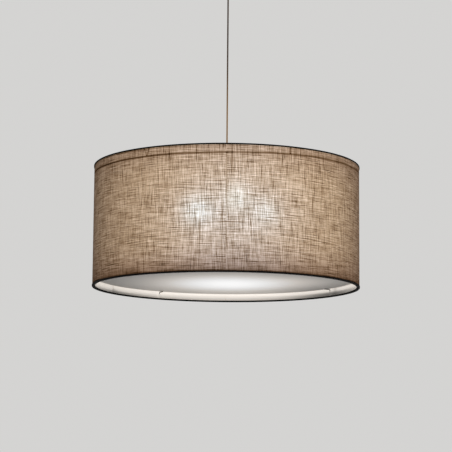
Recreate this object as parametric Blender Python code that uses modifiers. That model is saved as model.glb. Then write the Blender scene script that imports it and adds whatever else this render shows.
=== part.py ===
"""Pendant light with a linen drum shade, in metres, +Z up.

The origin is on the ceiling, at the middle of the top face of the ceiling bracket.
Everything hangs below it: canopy, cord grip, cord, shade frame, shade, three lamps, diffuser.
An azimuth is counted from -Y, the front, and grows towards +X.
"""

import math

import bmesh
import bpy
from mathutils import Matrix, Vector

# Driving dimensions
SHADE_RADIUS = 0.300
SHADE_HEIGHT = 0.274
SHADE_DROP = 0.464  # ceiling to the shade's top edge
CORD_RADIUS = 0.0017
DIFFUSER_GAP = 0.0108  # inside of the liner to the diffuser's edge
DIFFUSER_HEIGHT = 0.018  # bottom edge of the shade to the diffuser's underside
FITTER_RECESS = 0.0167  # top edge of the shade to the middle of the fitter ring's wire
ARM_TUBE_LENGTH = 0.03044
BULB_DROP = 0.090  # top edge of the shade to the middle of a bulb
BULB_TILT = math.radians(33)  # below level

# Fits
CLEARANCE = 0.0003  # between pieces that touch on the real lamp
CUT_OVERRUN = 0.002  # how far a cutter runs past the wall that it cuts
MERGE_DISTANCE = 0.00001

# Steps round a circle
RING_STEPS = 64
CANOPY_STEPS = 32
ROUND_STEPS = 24
SMALL_STEPS = 12
WIRE_SIDES = 6
WIRE_BEVEL_STEPS = 2
BEND_STEPS = 3
HEX_SIDES = 6
GLOBE_STEPS = 8

# Shade skins and edge trims
FABRIC_WALL = 0.0007
LINER_WALL = 0.0007
TRIM_WALL = 0.0008
TRIM_WIDTH = 0.0032
EDGE_WIRE_RADIUS = 0.0015

# Shade frame
FITTER_WIRE_RADIUS = 0.0020
ARM_WIRE_RADIUS = 0.0020
ARM_AZIMUTHS = {"front": 0.0, "right": math.radians(120), "left": math.radians(-120)}
STRUT_RADIUS = 0.0015
STRUT_AZIMUTHS = [
    math.radians(first + 120 * turn) for turn in range(3) for first in (-34.8, 26.0)
]
HUB_RADIUS = 0.018
HUB_HEIGHT = 0.006
NUT_RADIUS = 0.0085
NUT_HEIGHT = 0.0040
TUBE_RADIUS = 0.0050
TUBE_BORE_RADIUS = 0.0034

# Diffuser and its hooks
DIFFUSER_WALL = 0.003
DIFFUSER_EDGE_ROUND = 0.0008
HOOK_RADIUS = 0.0010
HOOK_FINGER = 0.012
HOOK_STANDOFF = 0.003
HOOK_BEND = 0.0020
HOOK_AZIMUTHS = [math.radians(33 + 90 * turn) for turn in range(4)]

# Canopy and its bracket
CANOPY_RADIUS = 0.050
CANOPY_DEPTH = 0.026
CANOPY_WALL = 0.0012
CANOPY_CORNER = 0.005
CEILING_GAP = 0.0005
STRAP_WIDTH = 0.018
STRAP_WALL = 0.0020
EAR_HEIGHT = 0.015
FIXING_HOLE_RADIUS = 0.0025
FIXING_SPACING = 0.072
SIDE_SCREW_RADIUS = 0.0015
SIDE_SCREW_LENGTH = 0.0065
SIDE_SCREW_HEAD_RADIUS = 0.0038
SIDE_SCREW_HEAD_HEIGHT = 0.0040
HEAD_ROUND = 0.0008

# Terminal block inside the canopy
BLOCK_LENGTH = 0.018
BLOCK_WIDTH = 0.020
BLOCK_HEIGHT = 0.0100
BLOCK_OFFSET = 0.0010  # right edge of the lock nut to the block
BLOCK_ROUND = 0.0010
TERMINAL_SPACING = 0.010
TERMINAL_SCREW_RADIUS = 0.0018
TERMINAL_SCREW_DEPTH = 0.0050
TERMINAL_SCREW_PROUD = 0.0006
LEAD_RADIUS = 0.0009
LEAD_SPACING = 0.0022

# Cord grips, which both clamp the cord with a small side screw
GRIP_STEM_LENGTH = 0.0110
GRIP_FLANGE_RADIUS = 0.0090
GRIP_FLANGE_HEIGHT = 0.0032
GRIP_MOUTH_RADIUS = 0.0062
GRIP_LENGTH = 0.0175
GRIP_MOUTH_FLARE = 0.0010
GRIP_MOUTH_DEPTH = 0.0020
GRIP_SCREW_RADIUS = 0.0016
GRIP_SCREW_HEAD_RADIUS = 0.0026
GRIP_SCREW_HEAD_HEIGHT = 0.0020
GRIP_THREAD_DEPTH = 0.0080
PIVOT_GAP = 0.0030  # grip's mouth to the middle of the cord's bend

# Lamp cluster
CUP_RADIUS = 0.029
CUP_WALL = 0.0012
CUP_HEIGHT = 0.030
CUP_DROP = 0.030  # top edge of the shade to the top of the cup
CUP_CORNER = 0.004
COVER_RIM_HEIGHT = 0.0040
COVER_RIM_WALL = 0.0010
CONNECTOR_RADIUS = 0.010
CONNECTOR_HEIGHT = 0.0110
CONNECTOR_LEAD_RADIUS = 0.0062
CONNECTOR_ROUND = 0.0010
TUBE_ENTRY = 0.0030  # how far a threaded end stands inside the cup or a holder
LAMP_LEAD_RADIUS = 0.0011
LEAD_RISE = 0.0080
LEAD_STEPS = 10

# Lampholders and bulbs, E27
BULB_RADIUS = 0.0225
BULB_LENGTH = 0.078
BULB_GLASS_WALL = 0.0010
BULB_NECK_RADIUS = 0.0121
CAP_RADIUS = 0.0131
CAP_THREAD_DEPTH = 0.0009
CAP_SHELL_LENGTH = 0.022
CAP_THREADS = 4
CAP_COLLAR_LENGTH = 0.0030
CAP_TIP_LENGTH = 0.0035
CAP_TIP_RADIUS = 0.0050
HOLDER_WALL = 0.0016
HOLDER_BACK = 0.0060  # holder's back wall to the core, room for the arm tube's end
HOLDER_FRONT = 0.0015  # how far the shell stands past the core
HOLDER_CORNER = 0.0040
CORE_WALL = 0.0042
CORE_BASE = 0.0050
CORE_CONTACT_RADIUS = 0.0030
CORE_CONTACT_HEIGHT = 0.0012

# Heights
SHADE_TOP = -SHADE_DROP
SHADE_BOTTOM = SHADE_TOP - SHADE_HEIGHT
FITTER_Z = SHADE_TOP - FITTER_RECESS
CANOPY_FLOOR = -CEILING_GAP - CANOPY_DEPTH
UPPER_GRIP_SEAT = CANOPY_FLOOR - CLEARANCE
UPPER_GRIP_MOUTH = UPPER_GRIP_SEAT - GRIP_LENGTH
UPPER_PIVOT = UPPER_GRIP_MOUTH - PIVOT_GAP
HUB_TOP = FITTER_Z + HUB_HEIGHT / 2
HUB_BOTTOM = FITTER_Z - HUB_HEIGHT / 2
LOWER_GRIP_SEAT = HUB_TOP + NUT_HEIGHT + 2 * CLEARANCE
LOWER_GRIP_MOUTH = LOWER_GRIP_SEAT + GRIP_LENGTH
LOWER_PIVOT = LOWER_GRIP_MOUTH + PIVOT_GAP
BEND_REACH = CORD_RADIUS + CLEARANCE  # middle of a bend to the straight cord's end
DIFFUSER_BOTTOM = SHADE_BOTTOM + DIFFUSER_HEIGHT
CUP_TOP = SHADE_TOP - CUP_DROP
CUP_BOTTOM = CUP_TOP - CUP_HEIGHT
COVER_TOP = CUP_BOTTOM
CONNECTOR_TOP = COVER_TOP + CLEARANCE + CONNECTOR_HEIGHT

# Radii
LINER_RADIUS = SHADE_RADIUS - FABRIC_WALL - CLEARANCE
LINER_INNER = LINER_RADIUS - LINER_WALL
EDGE_RING_RADIUS = LINER_INNER - CLEARANCE - EDGE_WIRE_RADIUS
FITTER_RING_RADIUS = LINER_INNER - CLEARANCE - FITTER_WIRE_RADIUS
DIFFUSER_RADIUS = LINER_INNER - DIFFUSER_GAP
SKIN_EDGE = TRIM_WALL + CLEARANCE  # shade's edge to the cut edge of its skins
THREAD_HOLE_RADIUS = TUBE_RADIUS + CLEARANCE
GRIP_BORE_RADIUS = CORD_RADIUS + CLEARANCE

# Places along a lamp's axis, from where it meets the cord's line
ARM_TUBE_START = (CUP_RADIUS - CUP_WALL - TUBE_ENTRY) / math.cos(BULB_TILT)
ARM_TUBE_END = ARM_TUBE_START + ARM_TUBE_LENGTH
HOLDER_FLOOR = ARM_TUBE_END - TUBE_ENTRY - HOLDER_WALL
CORE_BACK = HOLDER_FLOOR + HOLDER_BACK
CORE_FLOOR = CORE_BACK + CORE_BASE
CAP_TIP = CORE_FLOOR + CORE_CONTACT_HEIGHT + CLEARANCE
CAP_TOP = CAP_TIP + CAP_TIP_LENGTH + CAP_SHELL_LENGTH
CORE_FRONT = CAP_TOP - CAP_COLLAR_LENGTH
HOLDER_MOUTH = CORE_FRONT + HOLDER_FRONT
BULB_MIDDLE = CAP_TIP + BULB_LENGTH - BULB_RADIUS
LAMP_AXIS_Z = SHADE_TOP - BULB_DROP + BULB_MIDDLE * math.sin(BULB_TILT)
CORE_RADIUS = CAP_RADIUS + CLEARANCE + CORE_WALL
HOLDER_RADIUS = CORE_RADIUS + CLEARANCE + HOLDER_WALL

BULB_AZIMUTHS = [math.radians(4 + 120 * turn) for turn in range(3)]


def clear_scene():
    for old in list(bpy.data.objects):
        bpy.data.objects.remove(old)


def new_collection(name, parent):
    made = bpy.data.collections.new(name)
    parent.children.link(made)
    return made


def new_material(name, colour, roughness, metallic=0.0):
    material = bpy.data.materials.new(name)
    material.use_nodes = True
    shader = material.node_tree.nodes["Principled BSDF"]
    shader.inputs["Base Color"].default_value = (*colour, 1.0)
    shader.inputs["Roughness"].default_value = roughness
    shader.inputs["Metallic"].default_value = metallic
    return material


clear_scene()
PARTS = new_collection("pendant_light", bpy.context.scene.collection)
CUTTERS = new_collection("cutters", bpy.context.scene.collection)

LINEN = new_material("linen", (0.46, 0.38, 0.29), 0.9)
WHITE_LINER = new_material("white_liner", (0.86, 0.84, 0.80), 0.6)
BLACK_TRIM = new_material("black_trim", (0.012, 0.011, 0.010), 0.6)
WHITE_STEEL = new_material("white_steel", (0.80, 0.79, 0.76), 0.45)
BRIGHT_STEEL = new_material("bright_steel", (0.62, 0.62, 0.60), 0.3, 1.0)
OPAL = new_material("opal_plastic", (0.85, 0.85, 0.84), 0.35)
WHITE_PLASTIC = new_material("white_plastic", (0.78, 0.77, 0.74), 0.4)
CERAMIC = new_material("ceramic", (0.84, 0.82, 0.78), 0.3)
BULB_GLASS = new_material("bulb_glass", (0.92, 0.92, 0.90), 0.2)
CORD_SLEEVE = new_material("cord_sleeve", (0.19, 0.12, 0.07), 0.7)
BROWN_LEAD = new_material("brown_lead", (0.16, 0.08, 0.04), 0.5)
BLUE_LEAD = new_material("blue_lead", (0.05, 0.16, 0.42), 0.5)


def keep(obj, name, material, parent=None, collection=None):
    """Names the object, gives it its material and files it in its collection."""
    obj.name = name
    obj.data.name = name
    if material is not None:
        obj.data.materials.clear()
        obj.data.materials.append(material)
    for old in list(obj.users_collection):
        old.objects.unlink(obj)
    (collection or PARTS).objects.link(obj)
    if parent is not None:
        obj.parent = parent
    return obj


def smooth(obj, angle=math.radians(35)):
    obj.data.shade_smooth()
    obj.data.set_sharp_from_angle(angle=angle)
    return obj


def pivot(name, location, rotation=(0, 0, 0), parent=None):
    empty = bpy.data.objects.new(name, None)
    empty.location = location
    empty.rotation_euler = rotation
    PARTS.objects.link(empty)
    if parent is not None:
        empty.parent = parent
    return empty


def arc(centre, radius, start, end, steps):
    """Points of a round stretch, from one angle to another, both ends included."""
    return [
        (
            centre[0] + radius * math.cos(start + (end - start) * step / steps),
            centre[1] + radius * math.sin(start + (end - start) * step / steps),
        )
        for step in range(steps + 1)
    ]


def turned(name, outline, material, steps=ROUND_STEPS, closed=True, wall=None, parent=None):
    """Turns an outline of (radius, height) points round Z. With a wall it is a shell, thickened inwards."""
    mesh = bpy.data.meshes.new(name)
    points = [(radius, 0, height) for radius, height in outline]
    edges = [(at, at + 1) for at in range(len(points) - 1)]
    if closed:
        edges.append((len(points) - 1, 0))
    mesh.from_pydata(points, edges, [])
    obj = keep(bpy.data.objects.new(name, mesh), name, None, parent)
    screw = obj.modifiers.new("turn", "SCREW")
    screw.steps = steps
    screw.render_steps = steps
    screw.use_merge_vertices = True
    screw.merge_threshold = MERGE_DISTANCE
    if wall is not None:
        shell = obj.modifiers.new("wall", "SOLIDIFY")
        shell.thickness = wall
        shell.offset = -1
        shell.use_even_offset = True
    settle(obj)
    obj.data.materials.append(material)
    return smooth(obj)


def settle(obj):
    """Applies the modifiers, so that later cuts and joins work on the finished shape."""
    bpy.context.view_layer.update()
    graph = bpy.context.evaluated_depsgraph_get()
    finished = bpy.data.meshes.new_from_object(obj.evaluated_get(graph))
    finished.name = obj.data.name
    obj.modifiers.clear()
    obj.data = finished
    return obj


def cylinder(name, radius, low, high, material, sides=ROUND_STEPS, parent=None, collection=None):
    """A cylinder about its own Z, between two heights."""
    bpy.ops.mesh.primitive_cylinder_add(vertices=sides, radius=radius, depth=high - low)
    obj = bpy.context.object
    obj.data.transform(Matrix.Translation((0, 0, (low + high) / 2)))
    keep(obj, name, material, parent, collection)
    return smooth(obj)


def block(name, size, middle, material, parent=None, collection=None):
    """A square block, its unit cube stretched to size."""
    bpy.ops.mesh.primitive_cube_add(size=1)
    obj = bpy.context.object
    obj.data.transform(Matrix.Diagonal((*size, 1)))
    obj.data.transform(Matrix.Translation(middle))
    return keep(obj, name, material, parent, collection)


def rounded(obj, width):
    rounding = obj.modifiers.new("rounding", "BEVEL")
    rounding.width = width
    rounding.segments = 1
    return obj


def plate(name, outline, width, material):
    """A flat outline of (x, z) points, extruded evenly to both sides of y = 0."""
    curve = bpy.data.curves.new(name, "CURVE")
    curve.dimensions = "2D"
    curve.fill_mode = "BOTH"
    curve.extrude = width / 2
    spline = curve.splines.new("POLY")
    spline.points.add(len(outline) - 1)
    for place, (across, height) in zip(spline.points, outline):
        place.co = (across, height, 0, 1)
    spline.use_cyclic_u = True
    guide = bpy.data.objects.new(name, curve)
    PARTS.objects.link(guide)
    guide.rotation_euler.x = math.radians(90)
    bpy.context.view_layer.update()
    graph = bpy.context.evaluated_depsgraph_get()
    mesh = bpy.data.meshes.new_from_object(guide.evaluated_get(graph))
    mesh.transform(guide.matrix_world)
    bpy.data.objects.remove(guide)
    joined = bmesh.new()
    joined.from_mesh(mesh)
    bmesh.ops.remove_doubles(joined, verts=joined.verts, dist=MERGE_DISTANCE)
    joined.to_mesh(mesh)
    joined.free()
    return keep(bpy.data.objects.new(name, mesh), name, material)


def as_cutter(obj):
    obj.hide_render = True
    obj.display_type = "WIRE"
    return obj


def cut(obj, cutter, operation="DIFFERENCE"):
    change = obj.modifiers.new(operation.lower(), "BOOLEAN")
    change.operation = operation
    change.object = as_cutter(cutter)
    change.solver = "EXACT"
    return obj


def bore(obj, name, radius, low, high, location=(0, 0, 0), rotation=(0, 0, 0), parent=None):
    """Cuts a round hole about the Z axis of a place, between two heights."""
    cutter = cylinder(name, radius, low, high, None, ROUND_STEPS, parent, CUTTERS)
    cutter.location = location
    cutter.rotation_euler = rotation
    return cut(obj, cutter)


def wire(name, points, radius, material, parent=None, azimuth=0.0):
    """A round wire or lead through the points."""
    curve = bpy.data.curves.new(name, "CURVE")
    curve.dimensions = "3D"
    curve.bevel_depth = radius
    curve.bevel_resolution = WIRE_BEVEL_STEPS
    curve.use_fill_caps = True
    spline = curve.splines.new("POLY")
    spline.points.add(len(points) - 1)
    for place, point in zip(spline.points, points):
        place.co = (*point, 1)
    obj = keep(bpy.data.objects.new(name, curve), name, material, parent)
    obj.rotation_euler.z = azimuth
    return obj


def bent(points, radius):
    """The path with each inner corner rounded to the radius."""
    path = [points[0]]
    for before, corner, after in zip(points, points[1:], points[2:]):
        corner = Vector(corner)
        back = (Vector(before) - corner).normalized()
        ahead = (Vector(after) - corner).normalized()
        half = back.angle(ahead) / 2
        inset = radius / math.tan(half)
        middle = corner + (back + ahead).normalized() * radius / math.sin(half)
        start = corner + back * inset - middle
        turn = start.rotation_difference(corner + ahead * inset - middle)
        for step in range(BEND_STEPS + 1):
            partial = turn.copy()
            partial.angle = turn.angle * step / BEND_STEPS
            path.append(tuple(middle + partial @ start))
    path.append(points[-1])
    return path


def smooth_route(points, steps):
    """Points along one smooth curve through the given points (Catmull-Rom)."""
    places = [Vector(point) for point in points]
    places = [2 * places[0] - places[1], *places, 2 * places[-1] - places[-2]]
    spans = len(places) - 3
    route = []
    for step in range(steps + 1):
        along = step * spans / steps
        span = min(int(along), spans - 1)
        t = along - span
        a, b, c, d = places[span : span + 4]
        route.append(
            (2 * b + (c - a) * t + (2 * a - 5 * b + 4 * c - d) * t**2 + (3 * b - a - 3 * c + d) * t**3) / 2
        )
    return [tuple(point) for point in route]


def radial(reach, height):
    """A point towards the front, in the plane that an azimuth then turns round Z."""
    return (0, -reach, height)


def hex_nut(name, low, material, parent=None):
    nut = cylinder(name, NUT_RADIUS, low, low + NUT_HEIGHT, material, HEX_SIDES, parent)
    nut.data.shade_flat()
    return bore(
        nut, name + "_hole", THREAD_HOLE_RADIUS, low - CUT_OVERRUN, low + NUT_HEIGHT + CUT_OVERRUN, parent=parent
    )


def headed_screw(name, shank_radius, shank_length, head_radius, head_height, material):
    """A screw along its own Z: the head starts at 0 and stands up, the shank hangs below it."""
    outline = [
        (0, head_height),
        (head_radius - HEAD_ROUND, head_height),
        (head_radius, head_height - HEAD_ROUND),
        (head_radius, 0),
        (shank_radius, 0),
        (shank_radius, -shank_length),
        (0, -shank_length),
    ]
    return turned(name, outline, material, SMALL_STEPS, closed=False)


def make_bracket():
    """The strap that is screwed to the ceiling, with an ear turned down at each end."""
    room = (CANOPY_RADIUS - CANOPY_WALL) * math.cos(math.pi / CANOPY_STEPS) - CLEARANCE
    end = math.sqrt(room**2 - (STRAP_WIDTH / 2) ** 2)
    inner = end - STRAP_WALL
    right = [(inner, -STRAP_WALL), (inner, -EAR_HEIGHT), (end, -EAR_HEIGHT), (end, 0)]
    left = [(-reach, height) for reach, height in reversed(right)]
    strap = plate("ceiling_bracket", left + right, STRAP_WIDTH, WHITE_STEEL)
    across = end + CUT_OVERRUN
    hole = SIDE_SCREW_RADIUS + CLEARANCE
    facing = (0, math.radians(90), 0)
    bore(strap, "ear_holes", hole, -across, across, (0, 0, side_screw_height()), facing)
    for side, word in ((-1, "left"), (1, "right")):
        bore(
            strap,
            "fixing_hole_" + word,
            FIXING_HOLE_RADIUS,
            -STRAP_WALL - CUT_OVERRUN,
            CUT_OVERRUN,
            (side * FIXING_SPACING / 2, 0, 0),
        )
    return strap


def side_screw_height():
    return -(STRAP_WALL + EAR_HEIGHT) / 2


def make_canopy():
    """The shallow cup against the ceiling, held to the bracket's ears by two side screws."""
    corner = CANOPY_RADIUS - CANOPY_CORNER
    outline = [(CANOPY_RADIUS, -CEILING_GAP)]
    outline += arc((corner, CANOPY_FLOOR + CANOPY_CORNER), CANOPY_CORNER, 0, -math.radians(90), BEND_STEPS)
    outline.append((THREAD_HOLE_RADIUS, CANOPY_FLOOR))
    canopy = turned("canopy", outline, WHITE_STEEL, CANOPY_STEPS, closed=False, wall=CANOPY_WALL)
    across = CANOPY_RADIUS + CUT_OVERRUN
    return bore(
        canopy,
        "canopy_screw_holes",
        SIDE_SCREW_RADIUS + CLEARANCE,
        -across,
        across,
        (0, 0, side_screw_height()),
        (0, math.radians(90), 0),
    )


def make_side_screws():
    for side, word in ((-1, "left"), (1, "right")):
        screw = headed_screw(
            "canopy_screw_" + word,
            SIDE_SCREW_RADIUS,
            SIDE_SCREW_LENGTH,
            SIDE_SCREW_HEAD_RADIUS,
            SIDE_SCREW_HEAD_HEIGHT,
            BRIGHT_STEEL,
        )
        screw.location = (side * (CANOPY_RADIUS + CLEARANCE), 0, side_screw_height())
        screw.rotation_euler.y = side * math.radians(90)


def make_upper_grip():
    """The grip under the canopy: a threaded stem through the canopy's hole, and a clamping cone."""
    cone = UPPER_GRIP_SEAT - GRIP_FLANGE_HEIGHT
    outline = [
        (TUBE_RADIUS, UPPER_GRIP_SEAT + GRIP_STEM_LENGTH),
        (TUBE_RADIUS, UPPER_GRIP_SEAT),
        (GRIP_FLANGE_RADIUS, UPPER_GRIP_SEAT),
        (GRIP_FLANGE_RADIUS, cone),
        (GRIP_MOUTH_RADIUS, UPPER_GRIP_MOUTH),
        (GRIP_BORE_RADIUS + GRIP_MOUTH_FLARE, UPPER_GRIP_MOUTH),
        (GRIP_BORE_RADIUS, UPPER_GRIP_MOUTH + GRIP_MOUTH_DEPTH),
        (GRIP_BORE_RADIUS, UPPER_GRIP_SEAT + GRIP_STEM_LENGTH),
    ]
    grip = turned("canopy_cord_grip", outline, WHITE_PLASTIC)
    place_grip_screw(grip, "canopy_grip_screw", (cone + UPPER_GRIP_MOUTH) / 2)
    hex_nut("canopy_lock_nut", CANOPY_FLOOR + CANOPY_WALL + CLEARANCE, BRIGHT_STEEL)


def make_lower_grip(lamp):
    """The grip that the shade hangs from, screwed on the threaded tube's top end."""
    cone = LOWER_GRIP_SEAT + GRIP_THREAD_DEPTH
    outline = [
        (GRIP_MOUTH_RADIUS, LOWER_GRIP_MOUTH),
        (GRIP_FLANGE_RADIUS, cone),
        (GRIP_FLANGE_RADIUS, LOWER_GRIP_SEAT),
        (THREAD_HOLE_RADIUS, LOWER_GRIP_SEAT),
        (THREAD_HOLE_RADIUS, cone),
        (GRIP_BORE_RADIUS, cone),
        (GRIP_BORE_RADIUS, LOWER_GRIP_MOUTH - GRIP_MOUTH_DEPTH),
        (GRIP_BORE_RADIUS + GRIP_MOUTH_FLARE, LOWER_GRIP_MOUTH),
    ]
    grip = turned("lamp_cord_grip", outline, WHITE_PLASTIC)
    place_grip_screw(grip, "lamp_grip_screw", (cone + LOWER_GRIP_MOUTH) / 2)
    grip.parent = lamp
    bpy.data.objects["lamp_grip_screw"].parent = lamp


def place_grip_screw(grip, name, height):
    """The side screw that presses on the cord, through a hole in the grip's right side."""
    seat = GRIP_FLANGE_RADIUS + CLEARANCE
    facing = (0, math.radians(90), 0)
    bore(grip, name + "_hole", GRIP_SCREW_RADIUS + CLEARANCE, 0, seat + CUT_OVERRUN, (0, 0, height), facing)
    screw = headed_screw(
        name,
        GRIP_SCREW_RADIUS,
        seat - GRIP_BORE_RADIUS,
        GRIP_SCREW_HEAD_RADIUS,
        GRIP_SCREW_HEAD_HEIGHT,
        BRIGHT_STEEL,
    )
    screw.location = (seat, 0, height)
    screw.rotation_euler = facing


def make_terminal_block():
    """The block under the strap that joins the house wiring to the cord's two leads."""
    top = -STRAP_WALL - CLEARANCE
    middle = NUT_RADIUS + BLOCK_OFFSET + BLOCK_LENGTH / 2
    size = (BLOCK_LENGTH, BLOCK_WIDTH, BLOCK_HEIGHT)
    terminals = block("terminal_block", size, (middle, 0, top - BLOCK_HEIGHT / 2), WHITE_PLASTIC)
    rounded(terminals, BLOCK_ROUND)
    for side, word, colour in ((-1, "live", BROWN_LEAD), (1, "neutral", BLUE_LEAD)):
        place = (middle, side * TERMINAL_SPACING / 2, top - BLOCK_HEIGHT)
        bore(
            terminals,
            "terminal_hole_" + word,
            TERMINAL_SCREW_RADIUS + CLEARANCE,
            -CUT_OVERRUN,
            TERMINAL_SCREW_DEPTH + CLEARANCE,
            place,
        )
        screw = cylinder(
            "terminal_screw_" + word,
            TERMINAL_SCREW_RADIUS,
            -TERMINAL_SCREW_PROUD,
            TERMINAL_SCREW_DEPTH,
            BRIGHT_STEEL,
            SMALL_STEPS,
        )
        screw.location = place
        make_supply_lead("supply_lead_" + word, side, top - BLOCK_HEIGHT / 2, colour)


def make_supply_lead(name, side, height, material):
    """One of the cord's two leads, from the cord's cut end to the side of the terminal block."""
    start = UPPER_GRIP_SEAT + GRIP_STEM_LENGTH + CLEARANCE
    entry = NUT_RADIUS + BLOCK_OFFSET - CLEARANCE
    across = side * TERMINAL_SPACING / 2
    near = side * LEAD_SPACING / 2
    route = smooth_route(
        [
            (0, near, start),
            (0, near, start + LEAD_SPACING),
            (entry / 2, (near + across) / 2, height),
            (entry, across, height),
        ],
        LEAD_STEPS,
    )
    return wire(name, route, LEAD_RADIUS, material)


def make_cord(swing, hang, turn, lamp):
    """The cord: a clamped end at each grip, a bend at each mouth, and the straight run between."""
    cord_piece("cord_upper_end", UPPER_PIVOT + BEND_REACH, UPPER_GRIP_SEAT + GRIP_STEM_LENGTH, None)
    cord_bend("cord_bend_top", swing)
    cord_piece("suspension_cord", LOWER_PIVOT + BEND_REACH, UPPER_PIVOT - BEND_REACH, hang)
    cord_bend("cord_bend_bottom", turn)
    cord_piece("cord_lower_end", CONNECTOR_TOP + CLEARANCE, LOWER_PIVOT - BEND_REACH, lamp)


def cord_piece(name, low, high, parent):
    drop = parent.location.z if parent else 0
    return wire(name, [(0, 0, low - drop), (0, 0, high - drop)], CORD_RADIUS, CORD_SLEEVE, parent)


def cord_bend(name, parent):
    """The short stretch that flexes, a ball as wide as the cord, so that it clears both ends at any angle."""
    bpy.ops.mesh.primitive_uv_sphere_add(segments=SMALL_STEPS, ring_count=SMALL_STEPS // 2, radius=CORD_RADIUS)
    return smooth(keep(bpy.context.object, name, CORD_SLEEVE, parent))


def make_threaded_tube(lamp):
    """The hollow threaded tube that carries hub and cluster and lets the cord through."""
    top = LOWER_GRIP_SEAT + GRIP_THREAD_DEPTH - CLEARANCE
    bottom = CUP_TOP - CUP_WALL - TUBE_ENTRY
    return hollow_tube("threaded_tube", TUBE_RADIUS, TUBE_BORE_RADIUS, bottom, top, WHITE_STEEL, lamp)


def hollow_tube(name, radius, bore_radius, low, high, material, parent, steps=ROUND_STEPS):
    outline = [(radius, high), (radius, low), (bore_radius, low), (bore_radius, high)]
    return turned(name, outline, material, steps, parent=parent)


def make_spider(lamp):
    """Hub, its two nuts, and three arms out to the fitter ring."""
    hollow_tube("spider_hub", HUB_RADIUS, THREAD_HOLE_RADIUS, HUB_BOTTOM, HUB_TOP, WHITE_STEEL, lamp)
    hex_nut("hub_nut_top", HUB_TOP + CLEARANCE, BRIGHT_STEEL, lamp)
    hex_nut("hub_nut_bottom", HUB_BOTTOM - CLEARANCE - NUT_HEIGHT, BRIGHT_STEEL, lamp)
    inner = HUB_RADIUS + CLEARANCE
    outer = FITTER_RING_RADIUS - FITTER_WIRE_RADIUS - CLEARANCE
    for word, azimuth in ARM_AZIMUTHS.items():
        path = [radial(inner, FITTER_Z), radial(outer, FITTER_Z)]
        wire("spider_arm_" + word, path, ARM_WIRE_RADIUS, WHITE_STEEL, lamp, azimuth)


def wire_ring(name, ring_radius, wire_radius, height, parent, collection=None):
    bpy.ops.mesh.primitive_torus_add(
        major_segments=RING_STEPS,
        minor_segments=WIRE_SIDES,
        major_radius=ring_radius,
        minor_radius=wire_radius,
    )
    ring = keep(bpy.context.object, name, WHITE_STEEL, parent, collection)
    ring.location.z = height
    return smooth(ring, math.radians(60))


def make_rings(lamp):
    """Edge rings in the shade's two edges, and the recessed fitter ring with its welded struts."""
    inset = SKIN_EDGE + EDGE_WIRE_RADIUS
    wire_ring("top_ring", EDGE_RING_RADIUS, EDGE_WIRE_RADIUS, SHADE_TOP - inset, lamp)
    wire_ring("bottom_ring", EDGE_RING_RADIUS, EDGE_WIRE_RADIUS, SHADE_BOTTOM + inset, lamp)
    fitter = wire_ring("fitter_ring", FITTER_RING_RADIUS, FITTER_WIRE_RADIUS, FITTER_Z, lamp)
    strut_top = SHADE_TOP - inset - EDGE_WIRE_RADIUS - CLEARANCE
    for count, azimuth in enumerate(STRUT_AZIMUTHS):
        strut = cylinder(
            f"strut_{count}", STRUT_RADIUS, 0, strut_top - FITTER_Z, None, WIRE_SIDES, lamp, CUTTERS
        )
        strut.location = (
            FITTER_RING_RADIUS * math.sin(azimuth),
            -FITTER_RING_RADIUS * math.cos(azimuth),
            FITTER_Z,
        )
        strut.rotation_euler.z = azimuth
        cut(fitter, strut, "UNION")


def make_skins(lamp):
    """The linen outside, and the white plastic film under it in two halves that meet in front and behind."""
    high = SHADE_TOP - SKIN_EDGE
    low = SHADE_BOTTOM + SKIN_EDGE
    fabric_inner = SHADE_RADIUS - FABRIC_WALL
    hollow_tube("shade_fabric", SHADE_RADIUS, fabric_inner, low, high, LINEN, lamp, RING_STEPS)
    reach = SHADE_RADIUS + CUT_OVERRUN
    height = high - low + 2 * CUT_OVERRUN
    for side, word in ((-1, "left"), (1, "right")):
        name = "shade_liner_" + word
        half = hollow_tube(name, LINER_RADIUS, LINER_INNER, low, high, WHITE_LINER, lamp, RING_STEPS)
        middle = (side * (CLEARANCE - reach) / 2, 0, (high + low) / 2)
        cutter = block(name + "_cut", (reach, 2 * reach, height), middle, None, lamp, CUTTERS)
        cut(half, cutter)


def make_trims(lamp):
    """A dark binding folded over each edge, outside the linen and inside the edge ring."""
    out = SHADE_RADIUS + CLEARANCE
    far = out + TRIM_WALL
    back = EDGE_RING_RADIUS - EDGE_WIRE_RADIUS - CLEARANCE
    near = back - TRIM_WALL
    top_outline = [
        (far, SHADE_TOP),
        (far, SHADE_TOP - TRIM_WIDTH),
        (out, SHADE_TOP - TRIM_WIDTH),
        (out, SHADE_TOP - TRIM_WALL),
        (back, SHADE_TOP - TRIM_WALL),
        (back, SHADE_TOP - TRIM_WIDTH),
        (near, SHADE_TOP - TRIM_WIDTH),
        (near, SHADE_TOP),
    ]
    middle = SHADE_TOP + SHADE_BOTTOM
    bottom_outline = [(reach, middle - height) for reach, height in reversed(top_outline)]
    turned("top_trim", top_outline, BLACK_TRIM, RING_STEPS, parent=lamp)
    turned("bottom_trim", bottom_outline, BLACK_TRIM, RING_STEPS, parent=lamp)


def make_diffuser(lift):
    """The opal disc that rests on four wire hooks."""
    top = DIFFUSER_WALL
    inset = DIFFUSER_RADIUS - DIFFUSER_EDGE_ROUND
    outline = [
        (0, top),
        (inset, top),
        (DIFFUSER_RADIUS, top - DIFFUSER_EDGE_ROUND),
        (DIFFUSER_RADIUS, DIFFUSER_EDGE_ROUND),
        (inset, 0),
        (0, 0),
    ]
    turned("diffuser", outline, OPAL, RING_STEPS, closed=False, parent=lift)


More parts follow.
